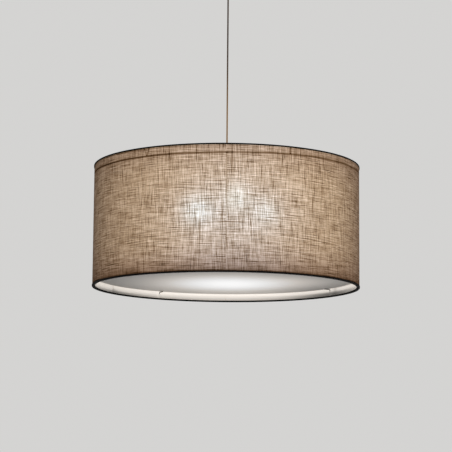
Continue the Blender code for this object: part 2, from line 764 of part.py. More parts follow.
def make_hooks(lamp):
    """Wire hooks standing on the bottom ring, each with a finger under the diffuser's edge."""
    finger = DIFFUSER_BOTTOM - CLEARANCE - HOOK_RADIUS
    foot = SHADE_BOTTOM + SKIN_EDGE + 2 * EDGE_WIRE_RADIUS + CLEARANCE + HOOK_RADIUS
    stand = DIFFUSER_RADIUS + HOOK_STANDOFF
    path = bent(
        [
            radial(DIFFUSER_RADIUS - HOOK_FINGER, finger),
            radial(stand, finger),
            radial(stand, foot),
            radial(EDGE_RING_RADIUS, foot),
        ],
        HOOK_BEND,
    )
    for count, azimuth in enumerate(HOOK_AZIMUTHS):
        wire(f"diffuser_hook_{count + 1}", path, HOOK_RADIUS, BRIGHT_STEEL, lamp, azimuth)


def make_cluster(lamp, axes):
    """The cup in the middle of the shade that carries the three lampholders, and its snap-in cover."""
    corner = (CUP_RADIUS - CUP_CORNER, CUP_TOP - CUP_CORNER)
    outline = [(THREAD_HOLE_RADIUS, CUP_TOP)]
    outline += arc(corner, CUP_CORNER, math.radians(90), 0, BEND_STEPS)
    outline.append((CUP_RADIUS, CUP_BOTTOM))
    cup = turned("cluster_cup", outline, WHITE_STEEL, closed=False, wall=CUP_WALL, parent=lamp)
    wall_middle = (CUP_RADIUS - CUP_WALL / 2) / math.cos(BULB_TILT)
    reach = CUP_RADIUS / 2
    for count, axis in enumerate(axes):
        low = wall_middle - reach / 2
        bore(cup, f"arm_hole_{count + 1}", THREAD_HOLE_RADIUS, low, wall_middle + reach, parent=axis)
    make_cover(lamp)
    connector = cylinder(
        "wire_connector", CONNECTOR_RADIUS, COVER_TOP + CLEARANCE, CONNECTOR_TOP, WHITE_PLASTIC, parent=lamp
    )
    rounded(connector, CONNECTOR_ROUND)


def make_cover(lamp):
    """The snap-in lid of the cup: a floor, and a rim that stands up inside the cup's wall."""
    rim = CUP_RADIUS - CUP_WALL - CLEARANCE
    outline = [
        (rim, COVER_TOP + COVER_RIM_HEIGHT),
        (rim, COVER_TOP - CLEARANCE),
        (CUP_RADIUS, COVER_TOP - CLEARANCE),
        (CUP_RADIUS, COVER_TOP - CLEARANCE - CUP_WALL),
        (0, COVER_TOP - CLEARANCE - CUP_WALL),
        (0, COVER_TOP),
        (rim - COVER_RIM_WALL, COVER_TOP),
        (rim - COVER_RIM_WALL, COVER_TOP + COVER_RIM_HEIGHT),
    ]
    return turned("cluster_cover", outline, WHITE_STEEL, parent=lamp)


def thread_outline(high, low, crest, root, count):
    """The wavy side of a screw cap, from top to bottom."""
    pitch = (high - low) / count
    points = []
    for turn in range(count):
        start = high - turn * pitch
        points.append((root, start))
        points.append((crest, start - pitch / 2))
    points.append((root, low))
    return points


def make_lamp(number, axis, spin):
    """One arm of the cluster along its own axis: tube, holder shell, core, lead, and the bulb in it."""
    name = f"arm_tube_{number}"
    hollow_tube(name, TUBE_RADIUS, TUBE_BORE_RADIUS, ARM_TUBE_START, ARM_TUBE_END, WHITE_STEEL, axis)
    make_holder_shell(number, axis)
    make_holder_core(number, axis)
    make_bulb(number, spin)


def make_holder_shell(number, axis):
    corner = HOLDER_RADIUS - HOLDER_CORNER
    outline = [(HOLDER_RADIUS, HOLDER_MOUTH)]
    outline += arc((corner, HOLDER_FLOOR + HOLDER_CORNER), HOLDER_CORNER, 0, -math.radians(90), BEND_STEPS)
    outline.append((THREAD_HOLE_RADIUS, HOLDER_FLOOR))
    name = f"lampholder_shell_{number}"
    return turned(name, outline, WHITE_PLASTIC, closed=False, wall=HOLDER_WALL, parent=axis)


def make_holder_core(number, axis):
    """The ceramic core with the screw socket and the raised centre contact."""
    socket = CAP_RADIUS + CLEARANCE
    outline = [
        (CORE_RADIUS, CORE_FRONT),
        (CORE_RADIUS, CORE_BACK),
        (0, CORE_BACK),
        (0, CORE_FLOOR + CORE_CONTACT_HEIGHT),
        (CORE_CONTACT_RADIUS, CORE_FLOOR + CORE_CONTACT_HEIGHT),
        (CORE_CONTACT_RADIUS, CORE_FLOOR),
        (socket, CORE_FLOOR),
        (socket, CORE_FRONT),
    ]
    return turned(f"lampholder_core_{number}", outline, CERAMIC, parent=axis)


def make_bulb(number, spin):
    """A round bulb: an opal globe open at its neck, on a solid screw cap. The spin empty is on its axis."""
    cap_top = CAP_TOP - BULB_MIDDLE
    neck_low = cap_top + CLEARANCE
    neck_angle = -math.acos((BULB_NECK_RADIUS + CAP_THREAD_DEPTH) / BULB_RADIUS)
    outline = arc((0, 0), BULB_RADIUS, math.radians(90), neck_angle, GLOBE_STEPS)
    outline[0] = (0, BULB_RADIUS)
    outline.append((BULB_NECK_RADIUS, neck_low))
    turned(
        f"bulb_globe_{number}", outline, BULB_GLASS, closed=False, wall=BULB_GLASS_WALL, parent=spin
    )
    shell_low = cap_top - CAP_SHELL_LENGTH
    root = CAP_RADIUS - CAP_THREAD_DEPTH
    cap = [(0, cap_top), (root, cap_top)]
    cap += thread_outline(cap_top - CAP_COLLAR_LENGTH, shell_low, CAP_RADIUS, root, CAP_THREADS)
    cap += [(CAP_TIP_RADIUS, shell_low - CAP_TIP_LENGTH), (0, shell_low - CAP_TIP_LENGTH)]
    turned(f"bulb_cap_{number}", cap, BRIGHT_STEEL, closed=False, parent=spin)


def make_lamp_lead(number, azimuth, lamp):
    """The lead from the wire connector, up and over into the arm tube, to the back of the core."""
    end = CORE_BACK - CLEARANCE
    down = Vector(radial(math.cos(BULB_TILT), -math.sin(BULB_TILT)))
    start = Vector((0, 0, LAMP_AXIS_Z))
    inner = start + down * ARM_TUBE_START
    outer = start + down * end
    lift = CONNECTOR_TOP + CLEARANCE
    route = smooth_route(
        [
            radial(CONNECTOR_LEAD_RADIUS, lift),
            radial(CONNECTOR_LEAD_RADIUS, lift + LEAD_RISE / 2),
            (inner + Vector(radial(CONNECTOR_LEAD_RADIUS, lift + LEAD_RISE))) / 2,
            inner,
            (inner + outer) / 2,
            outer,
        ],
        LEAD_STEPS,
    )
    wire(f"lamp_lead_{number}", route, LAMP_LEAD_RADIUS, BROWN_LEAD, lamp, azimuth)


def main():
    swing = pivot("swing_pivot", (0, 0, UPPER_PIVOT))
    hang = pivot("hang_pivot", (0, 0, UPPER_PIVOT))
    turn = pivot("turn_pivot", (0, 0, LOWER_PIVOT))
    lamp = pivot("lamp_frame", (0, 0, 0))
    lift = pivot("diffuser_lift", (0, 0, DIFFUSER_BOTTOM), parent=lamp)
    tilt = math.radians(90) + BULB_TILT
    axes = [
        pivot(f"lamp_axis_{count + 1}", (0, 0, LAMP_AXIS_Z), (tilt, 0, azimuth), lamp)
        for count, azimuth in enumerate(BULB_AZIMUTHS)
    ]
    make_bracket()
    make_canopy()
    make_side_screws()
    make_upper_grip()
    make_terminal_block()
    make_cord(swing, hang, turn, lamp)
    make_lower_grip(lamp)
    make_threaded_tube(lamp)
    make_spider(lamp)
    make_rings(lamp)
    make_skins(lamp)
    make_trims(lamp)
    make_diffuser(lift)
    make_hooks(lamp)
    make_cluster(lamp, axes)
    for count, (axis, azimuth) in enumerate(zip(axes, BULB_AZIMUTHS)):
        spin = pivot(f"bulb_spin_{count + 1}", (0, 0, BULB_MIDDLE), parent=axis)
        make_lamp(count + 1, axis, spin)
        make_lamp_lead(count + 1, azimuth, lamp)


main()
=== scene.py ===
"""The looks of a pendant light: drum shade, wire frame, three lamps, diffuser, cord and ceiling rose.

Metres, +Z up, the origin on the ceiling. An azimuth is counted from -Y, the front, towards +X.
"""

from contextlib import contextmanager
from math import acos, cos, degrees, pi, radians, sin, tan

import bmesh
import bpy
from mathutils import Euler, Matrix, Vector


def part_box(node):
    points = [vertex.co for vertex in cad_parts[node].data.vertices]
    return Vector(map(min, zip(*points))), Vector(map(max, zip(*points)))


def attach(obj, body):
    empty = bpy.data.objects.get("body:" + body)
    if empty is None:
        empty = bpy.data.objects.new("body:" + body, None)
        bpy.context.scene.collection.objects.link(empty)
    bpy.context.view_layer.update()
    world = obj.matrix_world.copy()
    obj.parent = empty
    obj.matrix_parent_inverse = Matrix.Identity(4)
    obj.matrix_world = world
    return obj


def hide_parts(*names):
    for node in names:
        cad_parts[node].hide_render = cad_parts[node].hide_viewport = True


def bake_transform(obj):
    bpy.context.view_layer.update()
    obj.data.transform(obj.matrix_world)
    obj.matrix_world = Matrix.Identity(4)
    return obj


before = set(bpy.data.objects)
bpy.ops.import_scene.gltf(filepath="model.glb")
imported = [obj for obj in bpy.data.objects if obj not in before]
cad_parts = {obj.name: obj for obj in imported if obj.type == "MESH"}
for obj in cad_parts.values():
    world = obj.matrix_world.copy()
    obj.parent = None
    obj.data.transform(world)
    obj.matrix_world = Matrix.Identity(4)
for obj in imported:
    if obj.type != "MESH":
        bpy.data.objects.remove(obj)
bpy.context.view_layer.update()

ROSE = "ceiling_rose"  # the body that stays on the ceiling

# Sizes of the part, as its source gives them
SHADE_RADIUS = 0.3
SHADE_TOP = -0.464
SHADE_BOTTOM = -0.738
SKIN_TOP = -0.4651
SKIN_BOTTOM = -0.7369
SKIN_WALL = 0.0007
LINER_RADIUS = 0.299
BINDING_OUT = 0.3011
BINDING_IN = 0.2939
BINDING_WALL = 0.0008
BINDING_WIDTH = 0.0032
EDGE_RING = 0.2965
EDGE_WIRE = 0.0015
TOP_RING_Z = -0.4666
BOTTOM_RING_Z = -0.7354
FITTER_RING = 0.296
FITTER_WIRE = 0.002
FITTER_Z = -0.4807
# Heights and spacing of painted shadow lines on the lit linen: the fitter ring's, the top binding's
# fold's and the struts'.
RING_SHADOW_Z = -0.4843  # where the ring shows through the linen
TAPE_SHADOW_Z = -0.4686  # where the inner fold of the top binding shows through it
STRUT_SHADOW_GAP = 61.5  # degrees from a first strut's mark to a second one's
LAP_LIFT = 0.00028  # how far the lap of the linen stands proud
LAP_HEM = 0.0024
LAP_TURN = radians(2.8)
# Threads that stand out: metres round the drum from the front, height, half width, half height
THICK_THREADS = (
    (-0.092, -0.552, 0.024, 0.0011),
    (-0.144, -0.665, 0.017, 0.0011),
    (0.004, -0.632, 0.028, 0.0011),
    (-0.286, -0.708, 0.032, 0.0011),
    (0.321, -0.694, 0.024, 0.0011),
    (-0.202, -0.716, 0.0012, 0.016),
    (-0.126, -0.484, 0.0012, 0.018),
    (0.011, -0.498, 0.0012, 0.036),
    (0.197, -0.586, 0.0012, 0.024),
    (-0.056, -0.645, 0.0012, 0.036),
    (-0.009, -0.628, 0.0012, 0.056),
)
HUB_RADIUS = 0.018
HUB_HEIGHT = 0.006
ARM_AZIMUTHS = {"front": 0, "right": 120, "left": -120}
STRUT_AZIMUTHS = (-34.8, 26)  # and again every third of a turn
STRUT_WELD = (0.0024, 0.0024, 0.0026)
ARM_WELD = (0.0028, 0.0028, 0.0022)
HUB_WELD = (0.003, 0.0016, 0.0027)
DISC_RADIUS = 0.2875
DISC_BOTTOM = -0.72
DISC_WALL = 0.003
DISC_ROUND = 0.0008
HOOK_WIRE = 0.001
HOOK_AZIMUTHS = (33, 123, 213, 303)
TUBE_RADIUS = 0.005
TUBE_BORE = 0.0034
THREAD_HOLE = 0.0053  # clears the tube's thread
NUT_RADIUS = 0.0085
NUT_HEIGHT = 0.004
NUT_GAP = 0.0003
ROSE_RADIUS = 0.05
ROSE_WALL = 0.0012
ROSE_TOP = -0.0005
ROSE_FLOOR = -0.0265
SIDE_SCREW_Z = -0.0085
SIDE_SCREW_HOLE = 0.0018
STRAP_WALL = 0.002
CEILING_HOLE = 0.0025
CEILING_HOLE_X = 0.036
TERMINAL_Y = 0.005
UPPER_SEAT = -0.0268
UPPER_MOUTH = -0.0443
LOWER_SEAT = -0.4731
LOWER_MOUTH = -0.4556
CORD_RADIUS = 0.0017
CORD_TOP = -0.0158
CORD_END = -0.5124
UPPER_PIVOT = -0.0473
LOWER_PIVOT = -0.4526
FLEX = 0.003  # length of a flexing stretch on one side of its pivot
UPPER_EXIT, LOWER_EXIT = UPPER_PIVOT - FLEX, LOWER_PIVOT + FLEX  # ends of the straight run
CUP_RADIUS = 0.029
CUP_TOP = -0.494
CUP_BOTTOM = -0.524
LAMP_TILT = radians(33)
LAMP_AXIS_Z = -0.48678
LAMP_AZIMUTHS = (4, 124, 244)
BULB_RADIUS = 0.0225
BULB_NECK = 0.0121
CAP_RADIUS = 0.0131
CORE_RADIUS = 0.0176
HOLDER_RADIUS = 0.0195
HOLDER_WALL = 0.0016

# Places along a lamp's own axis
ARM_START, ARM_END = 0.02957, 0.06001
HOLDER_FLOOR, HOLDER_MOUTH = 0.05541, 0.09191
COLLAR_START, COLLAR_END = HOLDER_FLOOR + 0.0075, HOLDER_MOUTH - 0.0165
CORE_BACK, CORE_FLOOR, CORE_FRONT = 0.06141, 0.06641, 0.09041
CAP_TIP, CAP_TOP = 0.06791, 0.09341
BULB_MIDDLE = 0.12341

# Camera, lamps and floor; angles in degrees
CAMERA_PLACE = (-0.0007, -3.967, -1.1915)
CAMERA_TURN = (98.53, -0.45, -0.067)
LENS = 141.2
LAMP_FALL = 20
LAMP_WIDTH = 25
FLOOR_Z = -5.2

# Fineness of round work
DRUM_STEPS = 240
ROUND_STEPS = 64
SMALL_STEPS = 32
MERGE = 0.00001
SPECK = 0.001  # the plane that a drawn line starts from
PAST = 0.001  # how far a cutting tool reaches past its work


# ---- workshop


def pick(piece):
    """Selects one piece and nothing else."""
    bpy.ops.object.select_all(action="DESELECT")
    piece.select_set(True)
    bpy.context.view_layer.objects.active = piece


def named(name):
    piece = bpy.context.object
    piece.name = piece.data.name = name
    return piece


def settled(piece):
    """Moves the piece's place into its mesh."""
    pick(piece)
    bpy.ops.object.transform_apply(location=True, rotation=True, scale=True)
    return piece


@contextmanager
def shaping(piece):
    pick(piece)
    bpy.ops.object.mode_set(mode="EDIT")
    bpy.ops.mesh.select_mode(type="VERT")
    bpy.ops.mesh.select_all(action="SELECT")
    yield bmesh.from_edit_mesh(piece.data)
    bpy.ops.object.mode_set(mode="OBJECT")


def choose(piece, shape, test):
    """Selects the faces whose middle and normal pass the test."""
    bpy.ops.mesh.select_mode(type="FACE")
    bpy.ops.mesh.select_all(action="DESELECT")
    for face in shape.faces:
        if test(face.calc_center_median(), face.normal):
            face.select_set(True)
    bmesh.update_edit_mesh(piece.data)


def sliced(place, normal, **settings):
    """Cuts the whole piece along a plane, while it is being shaped."""
    bpy.ops.mesh.select_all(action="SELECT")
    bpy.ops.mesh.bisect(plane_co=place, plane_no=normal, **settings)


def sealed(piece):
    """Joins what touches and turns every face outwards."""
    with shaping(piece):
        bpy.ops.mesh.remove_doubles(threshold=MERGE)
        bpy.ops.mesh.normals_make_consistent(inside=False)
    return piece


def smooth(piece, angle=35):
    pick(piece)
    bpy.ops.object.shade_smooth_by_angle(angle=radians(angle))
    return piece


def applied(piece, kind, **settings):
    """Adds a modifier and applies it."""
    pick(piece)
    change = piece.modifiers.new(kind.lower(), kind)
    for key, value in settings.items():
        setattr(change, key, value)
    bpy.ops.object.modifier_apply(modifier=change.name)
    return piece


def drawn(name, points):
    """A line drawn on from one point, corner by corner."""
    bpy.ops.mesh.primitive_plane_add(size=SPECK, location=points[0])
    line = named(name)
    bpy.ops.object.mode_set(mode="EDIT")
    bpy.ops.mesh.select_mode(type="VERT")
    bpy.ops.mesh.merge(type="CENTER")
    for here, there in zip(points, points[1:]):
        step = Vector(there) - Vector(here)
        bpy.ops.mesh.extrude_vertices_move(TRANSFORM_OT_translate={"value": step})
    bpy.ops.object.mode_set(mode="OBJECT")
    return settled(line)


def rounded(points, radius, steps=3, closed=False):
    """The line with its corners rounded, each as far as its neighbours leave room."""
    places = [Vector((*point, 0, 0)[:3]) for point in points]
    count, size = len(places), len(points[0])
    path = [] if closed else [places[0]]
    for at in range(count) if closed else range(1, count - 1):
        corner = places[at]
        back, ahead = places[at - 1] - corner, places[(at + 1) % count] - corner
        half = back.angle(ahead) / 2
        if half > radians(86):
            path.append(corner)
            continue
        inset = min(radius / tan(half), 0.48 * back.length, 0.48 * ahead.length)
        start, end = corner + back.normalized() * inset, corner + ahead.normalized() * inset
        for step in range(steps + 1):
            along = step / steps
            path.append(start.lerp(corner, along).lerp(corner.lerp(end, along), along))
    if not closed:
        path.append(places[-1])
    return [tuple(place)[:size] for place in path]


def arc(centre, radius, start, end, steps=8):
    """Points of a round stretch of an outline, its angles in degrees."""
    turns = [radians(start + (end - start) * step / steps) for step in range(steps + 1)]
    return [(centre[0] + radius * cos(turn), centre[1] + radius * sin(turn)) for turn in turns]


def walled(outline, wall):
    """A closed outline from an open one, with a wall to the left of its drawing direction."""
    places = [Vector(point) for point in outline]
    inner = []
    for at, place in enumerate(places):
        before = places[max(at - 1, 0)]
        after = places[min(at + 1, len(places) - 1)]
        sides = [
            Vector((-step.y, step.x)).normalized()
            for step in (place - before, after - place)
            if step.length > 0
        ]
        middle = sum(sides, Vector((0, 0))).normalized()
        inner.append(place + middle * wall / max(middle.dot(sides[0]), 0.5))
    return [tuple(place) for place in places + inner[::-1]]


def turned(name, outline, steps=ROUND_STEPS, closed=False, angle=35):
    """A lathe's work: an outline of (radius, height) spun round Z."""
    line = [(reach, 0, height) for reach, height in outline]
    piece = drawn(name, line + line[:1] if closed else line)
    with shaping(piece):
        bpy.ops.mesh.remove_doubles(threshold=MERGE)
        bpy.ops.mesh.spin(steps=steps, angle=2 * pi, center=(0, 0, 0), axis=(0, 0, 1))
    return smooth(sealed(piece), angle)


def wire(name, points, radius, sides=4):
    """A round wire: its line made a curve, given its thickness, and made a mesh again."""
    drawn(name, points)
    bpy.ops.object.convert(target="CURVE")
    line = bpy.context.object
    line.data.bevel_depth = radius
    line.data.bevel_resolution = sides
    line.data.use_fill_caps = True
    bpy.ops.object.convert(target="MESH")
    return smooth(sealed(named(name)), 50)


def ring(name, radius, thickness, height):
    bpy.ops.mesh.primitive_torus_add(
        major_segments=DRUM_STEPS,
        minor_segments=16,
        major_radius=radius,
        minor_radius=thickness,
        location=(0, 0, height),
    )
    return smooth(settled(named(name)), 60)


def rod(name, radius, start, end, steps=SMALL_STEPS):
    """A plain round bar between two points."""
    start, end = Vector(start), Vector(end)
    bpy.ops.mesh.primitive_cylinder_add(
        vertices=steps,
        radius=radius,
        depth=(end - start).length,
        location=(start + end) / 2,
        rotation=(end - start).to_track_quat("Z", "Y").to_euler(),
    )
    return settled(named(name))


def block(name, low, high, edge=0):
    """A square block between two corners, its edges rounded."""
    low, high = Vector(low), Vector(high)
    bpy.ops.mesh.primitive_cube_add(size=1, location=(low + high) / 2, scale=high - low)
    piece = settled(named(name))
    if edge:
        with shaping(piece):
            bpy.ops.mesh.bevel(offset=edge, segments=3, affect="EDGES")
    return smooth(piece)


def bead(name, place, size):
    """A small blob of weld, flattened to its sizes."""
    bpy.ops.mesh.primitive_uv_sphere_add(
        segments=12, ring_count=8, radius=1, location=place, scale=size
    )
    return smooth(settled(named(name)), 80)


def cut(piece, *tools):
    """Takes the tools' shapes out of the piece."""
    for tool in tools:
        applied(piece, "BOOLEAN", object=tool, solver="EXACT")
        bpy.data.objects.remove(tool)
    return piece


def joined(name, pieces):
    bpy.ops.object.select_all(action="DESELECT")
    for piece in pieces:
        piece.select_set(True)
    bpy.context.view_layer.objects.active = pieces[0]
    bpy.ops.object.join()
    return named(name)


def copied(piece, name, place):
    """A copy with its own mesh, set in its place."""
    pick(piece)
    bpy.ops.object.duplicate(linked=False)
    other = named(name)
    other.matrix_world = place
    return settled(other)


def about(azimuth):
    """The turn about the cord's line that brings the front round to an azimuth."""
    return Matrix.Rotation(radians(azimuth), 4, "Z")


def lamp_place(number):
    """Brings Z round to a lamp's axis, which points outwards and down."""
    tilt = Euler((pi / 2 + LAMP_TILT, 0, 0)).to_matrix().to_4x4()
    return Matrix.Translation((0, 0, LAMP_AXIS_Z)) @ about(LAMP_AZIMUTHS[number - 1]) @ tilt


def outwards(reach, azimuth, height):
    """A point at a distance from the cord's line."""
    return (reach * sin(radians(azimuth)), -reach * cos(radians(azimuth)), height)


def eased(points, steps):
    """A smooth route through the points (Catmull-Rom)."""
    places = [Vector(point) for point in points]
    places = [2 * places[0] - places[1], *places, 2 * places[-1] - places[-2]]
    spans = len(places) - 3
    route = []
    for step in range(steps + 1):
        along = step * spans / steps
        span = min(int(along), spans - 1)
        t = along - span
        a, b, c, d = places[span : span + 4]
        bend = (2 * a - 5 * b + 4 * c - d) * t**2
        route.append((2 * b + (c - a) * t + bend + (3 * b - a - 3 * c + d) * t**3) / 2)
    return route


def dressed(piece, finish, *nodes):
    """Gives a piece its finish and hides the nodes that it stands for."""
    piece.data.materials.clear()
    piece.data.materials.append(finish.material)
    if nodes:
        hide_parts(*nodes)
    return piece


def fit(piece, finish, body, *nodes):
    """Dresses a piece and hangs it on its body."""
    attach(dressed(piece, finish, *nodes), body)
    return piece


def set_out(pattern, finish, rows):
    """Fits a copy of the pattern in each of its places, and puts the pattern away."""
    for name, place, body, node in rows:
        fit(copied(pattern, name, place), finish, body, node)
    bpy.data.objects.remove(pattern)


def repaint(node, finish):
    """A node of the frame whose shape is right gets its finish."""
    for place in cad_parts[node].material_slots:
        place.material = finish.material


# ---- finishes


class Tone:
    """A value in a finish. Sums with it add Math nodes."""

    def __init__(self, finish, socket):
        self.finish, self.socket = finish, socket

    def of(self, operation, *values):
        return self.finish.add("Math", {"operation": operation}, dict(enumerate((self, *values))))

    __add__ = __radd__ = lambda self, value: self.of("ADD", value)
    __mul__ = __rmul__ = lambda self, value: self.of("MULTIPLY", value)
    __sub__ = lambda self, value: self.of("SUBTRACT", value)
    __truediv__ = lambda self, value: self.of("DIVIDE", value)
    __neg__ = lambda self: self * -1

    def __rsub__(self, value):
        return self.finish.add("Math", {"operation": "SUBTRACT"}, {0: value, 1: self})

    def rises(self, low, high, bottom=0, top=1):
        """Runs smoothly from bottom to top as the value goes from low to high."""
        values = dict(enumerate((self, low, high, bottom, top)))
        return self.finish.add("MapRange", {"interpolation_type": "SMOOTHSTEP"}, values)

    def falls(self, low, high):
        return self.rises(low, high, 1, 0)

    def near(self, middle, spread):
        """1 at the middle, dying away over the spread on both sides."""
        away = (self - middle) / spread
        return (-(away * away)).of("EXPONENT")

    def wave(self, pitch):
        """From -1 to 1 and back once in each pitch."""
        return (self * (2 * pi / pitch)).of("SINE")

    def held(self):
        """No less than 0 and no more than 1."""
        return self.of("MAXIMUM", 0).of("MINIMUM", 1)


class Finish:
    """A material, made from nodes."""

    def __init__(self, name, slot, **settings):
        self.slot = slot
        self.material = bpy.data.materials.new(name)
        self.material.use_nodes = True
        self.tree = self.material.node_tree
        self.shader = self.tree.nodes["Principled BSDF"]
        self.wear(**settings)

    def feed(self, socket, value):
        if isinstance(value, Tone):
            self.tree.links.new(value.socket, socket)
        elif isinstance(value, tuple) and len(value) == 3 and len(socket.default_value) == 4:
            socket.default_value = (*value, 1)
        else:
            socket.default_value = value

    def add(self, kind, settings=None, values=None, out=0):
        node = self.tree.nodes.new("ShaderNode" + kind)
        for key, value in (settings or {}).items():
            setattr(node, key, value)
        for key, value in (values or {}).items():
            self.feed(node.inputs[key], value)
        return Tone(self, node.outputs[out])

    def where(self):
        """The three object coordinates of a point."""
        place = self.add("TexCoord", out="Object")
        return [self.add("SeparateXYZ", values={0: place}, out=axis) for axis in range(3)]

    def noise(self, x, y, z, detail=0):
        point = self.add("CombineXYZ", values={0: x, 1: y, 2: z})
        return self.add("TexNoise", values={"Vector": point, "Scale": 1, "Detail": detail})

    def cloud(self, size, detail=2):
        """Even noise of a size, all through the piece."""
        place = self.add("TexCoord", out="Object")
        return self.add("TexNoise", values={"Vector": place, "Scale": 1 / size, "Detail": detail})

    def vector(self, operation, values):
        return self.add("VectorMath", {"operation": operation}, values)

    def times(self, colour, *tones):
        """A colour made lighter or darker."""
        for tone in tones:
            colour = self.vector("SCALE", {0: colour, "Scale": tone})
        return colour

    def dyed(self, colour, red, green, blue):
        """A colour with its three parts made lighter or darker one by one."""
        parts = self.add("CombineXYZ", values={0: red, 1: green, 2: blue})
        return self.vector("MULTIPLY", {0: colour, 1: parts})

    def plus(self, *colours):
        total = colours[0]
        for colour in colours[1:]:
            total = self.vector("ADD", {0: total, 1: colour})
        return total

    def between(self, first, second, share):
        """From the first colour to the second as the share goes from 0 to 1."""
        return self.add("Mix", {"data_type": "RGBA"}, {0: share, 6: first, 7: second}, out=2)

    def wear(self, **sockets):
        for key, value in sockets.items():
            self.feed(self.shader.inputs[key.replace("_", " ")], value)

    def glow(self, colour):
        self.wear(Emission_Color=colour, Emission_Strength=1)

    def relief(self, height, distance, strength):
        values = {"Strength": strength, "Distance": distance, "Height": height}
        self.wear(Normal=self.add("Bump", values=values))


def azimuth_of(x, y):
    """The azimuth in degrees, 0 in front and from -180 to 180."""
    return x.of("ARCTAN2", -y) * degrees(1)


def round_the_drum(x, y):
    """Metres round the drum from the back. The two ends meet in front, at the lap."""
    return (-x).of("ARCTAN2", y) * SHADE_RADIUS


def weave(finish, around, height):
    """Slubby linen: uneven threads both ways, near 1 on the whole, and its relief."""

    def along(finer, run, seed):
        """Threads that run up: each is shifted against the next, so that no rows show."""
        return finish.noise(around / finer, height / run + around * (0.37 / finer), seed)

    def across(finer, run, seed):
        return finish.noise(around / run + height * (0.41 / finer), height / finer, seed)

    warp, weft = along(0.0013, 0.046, 1), across(0.0011, 0.052, 7)
    warp_fine, weft_fine = along(0.0008, 0.012, 3), across(0.0007, 0.014, 5)
    slub_up = along(0.0017, 0.036, 11).rises(0.64, 0.73)
    slub_across = across(0.0016, 0.046, 13).rises(0.63, 0.72)
    open_spots = finish.noise(around / 0.0034, height / 0.0034, 17).rises(0.56, 0.76)
    drift = finish.noise(around / 0.05, height / 0.04, 19, 1)
    threads = (
        1.06
        + (0.5 - warp) * 1.7
        + (0.5 - weft) * 2.15
        + (0.5 - warp_fine) * 0.9
        + (0.5 - weft_fine) * 1
        + (drift - 0.5) * 0.25
        + open_spots * 0.15
        - slub_up * 0.55
        - slub_across * 0.55
    ).of("MAXIMUM", 0.12)
    pitch = 0.0016
    crossing = around.wave(pitch) * height.wave(pitch)
    relief = crossing * 0.3 + (warp + weft) * 0.8 + (slub_up + slub_across) * 0.5
    return threads + crossing * 0.06, relief


def painted_shadows_and_threads(azimuth, height):
    """Painted shadows of the frame and the top binding on the lit linen, painted shade towards its
    bottom edge, dark lines at the lap, and the thick threads; 1 where none falls.
    """
    metres = radians(1) * SHADE_RADIUS
    from_front = azimuth * metres
    mark = RING_SHADOW_Z + azimuth.rises(-8, 42, 0, 0.0038) * azimuth.falls(100, 165)
    over = height - mark
    above = over.rises(-0.001, 0.001)
    # The ring's painted shadow with a soft painted shade below it, and a painted shadow under the top
    # binding at the left.
    ring_shadow = over.near(0, 0.0022) * (0.73 + azimuth.near(-55, 35) * 0.2)
    ring_shadow = ring_shadow + over.near(-0.004, 0.005) * 0.05
    tape_shadow = height.near(TAPE_SHADOW_Z, 0.0015) * azimuth.near(-48, 38) * 0.6

    # Painted shadows of the struts, a vee and a single line in each third, and painted dots where the
    # arms meet the ring.
    turn = (azimuth - STRUT_AZIMUTHS[0]).of("FLOORED_MODULO", 120)
    first = ((turn + 60).of("FLOORED_MODULO", 120) - 60) * metres
    vee = first.of("ABSOLUTE") - over * 0.38
    second = (turn - STRUT_SHADOW_GAP) * metres
    struts = (vee.near(0, 0.0015) + second.near(0, 0.0019) * 1.25) * above
    arm_end_shadows = ((turn + STRUT_AZIMUTHS[0]) * metres).near(0, 0.0025) * over.near(0, 0.0026)

    # Dark lines down the front at the lap's two edges; the first only below the ring.
    lap = from_front.near(-0.0005, 0.0014) * height.rises(-0.74, -0.49, 0.08, 0.42) * (1 - above)
    lap = lap + from_front.near(0.0152, 0.0013) * height.rises(-0.7, -0.56, 0.26, 0.08)
    slubs = 0
    for place, level, width, tall in THICK_THREADS:
        slubs = from_front.near(place, width) * height.near(level, tall) + slubs
    # Painted shade towards the bottom edge, in two stages.
    edge_shade = height.rises(-0.7352, -0.7305, 0.15, 1) * height.rises(SHADE_BOTTOM, -0.7, 0.62, 1)
    left = 1 - ring_shadow - tape_shadow - struts * 0.5 - arm_end_shadows * 0.3 - lap - slubs * 0.66
    return left.of("MAXIMUM", 0.1) * edge_shade


def lamp_light(finish, azimuth, height):
    """The three lamps' light behind the linen: a broad glow, its cooler middle and the hot spots."""

    def spot(middle, spread, level, tall):
        return azimuth.near(middle, spread) * height.near(level, tall)

    inside = height.rises(-0.765, -0.655) * height.falls(-0.55, -0.4)
    dim = 1 - (azimuth.near(-85, 14) + azimuth.near(85, 14)) * 0.75
    uneven = spot(50, 13, -0.575, 0.07) * 0.13 + spot(2, 22, -0.485, 0.03) * 0.08
    uneven = uneven - spot(5, 20, -0.69, 0.035) * 0.14
    front = azimuth.near(4.5, 60)
    sides = azimuth.near(125, 32) + azimuth.near(-118, 32)
    side_middles = spot(124, 26, -0.625, 0.11) + spot(-116, 26, -0.625, 0.11)
    side_spots = spot(118, 6.5, -0.606, 0.03) + spot(-118, 6, -0.6, 0.03)
    light = finish.plus(
        finish.times((0.318, 0.244, 0.14), (front + sides * 0.85) * inside),
        finish.times((0, 0.077, 0.158), spot(3, 26, -0.625, 0.13)),
        finish.times((0.03, 0.067, 0.11), side_middles),
        finish.times((0.198, 0.282, 0.32), spot(-11.5, 6.5, -0.608, 0.03)),
        finish.times((0.164, 0.222, 0.229), spot(4, 5, -0.583, 0.028)),
        finish.times((0.091, 0.142, 0.163), spot(15.9, 6, -0.61, 0.03)),
        finish.times((0.2, 0.236, 0.22), side_spots),
    )
    return finish.times(light, dim, 1 + uneven)


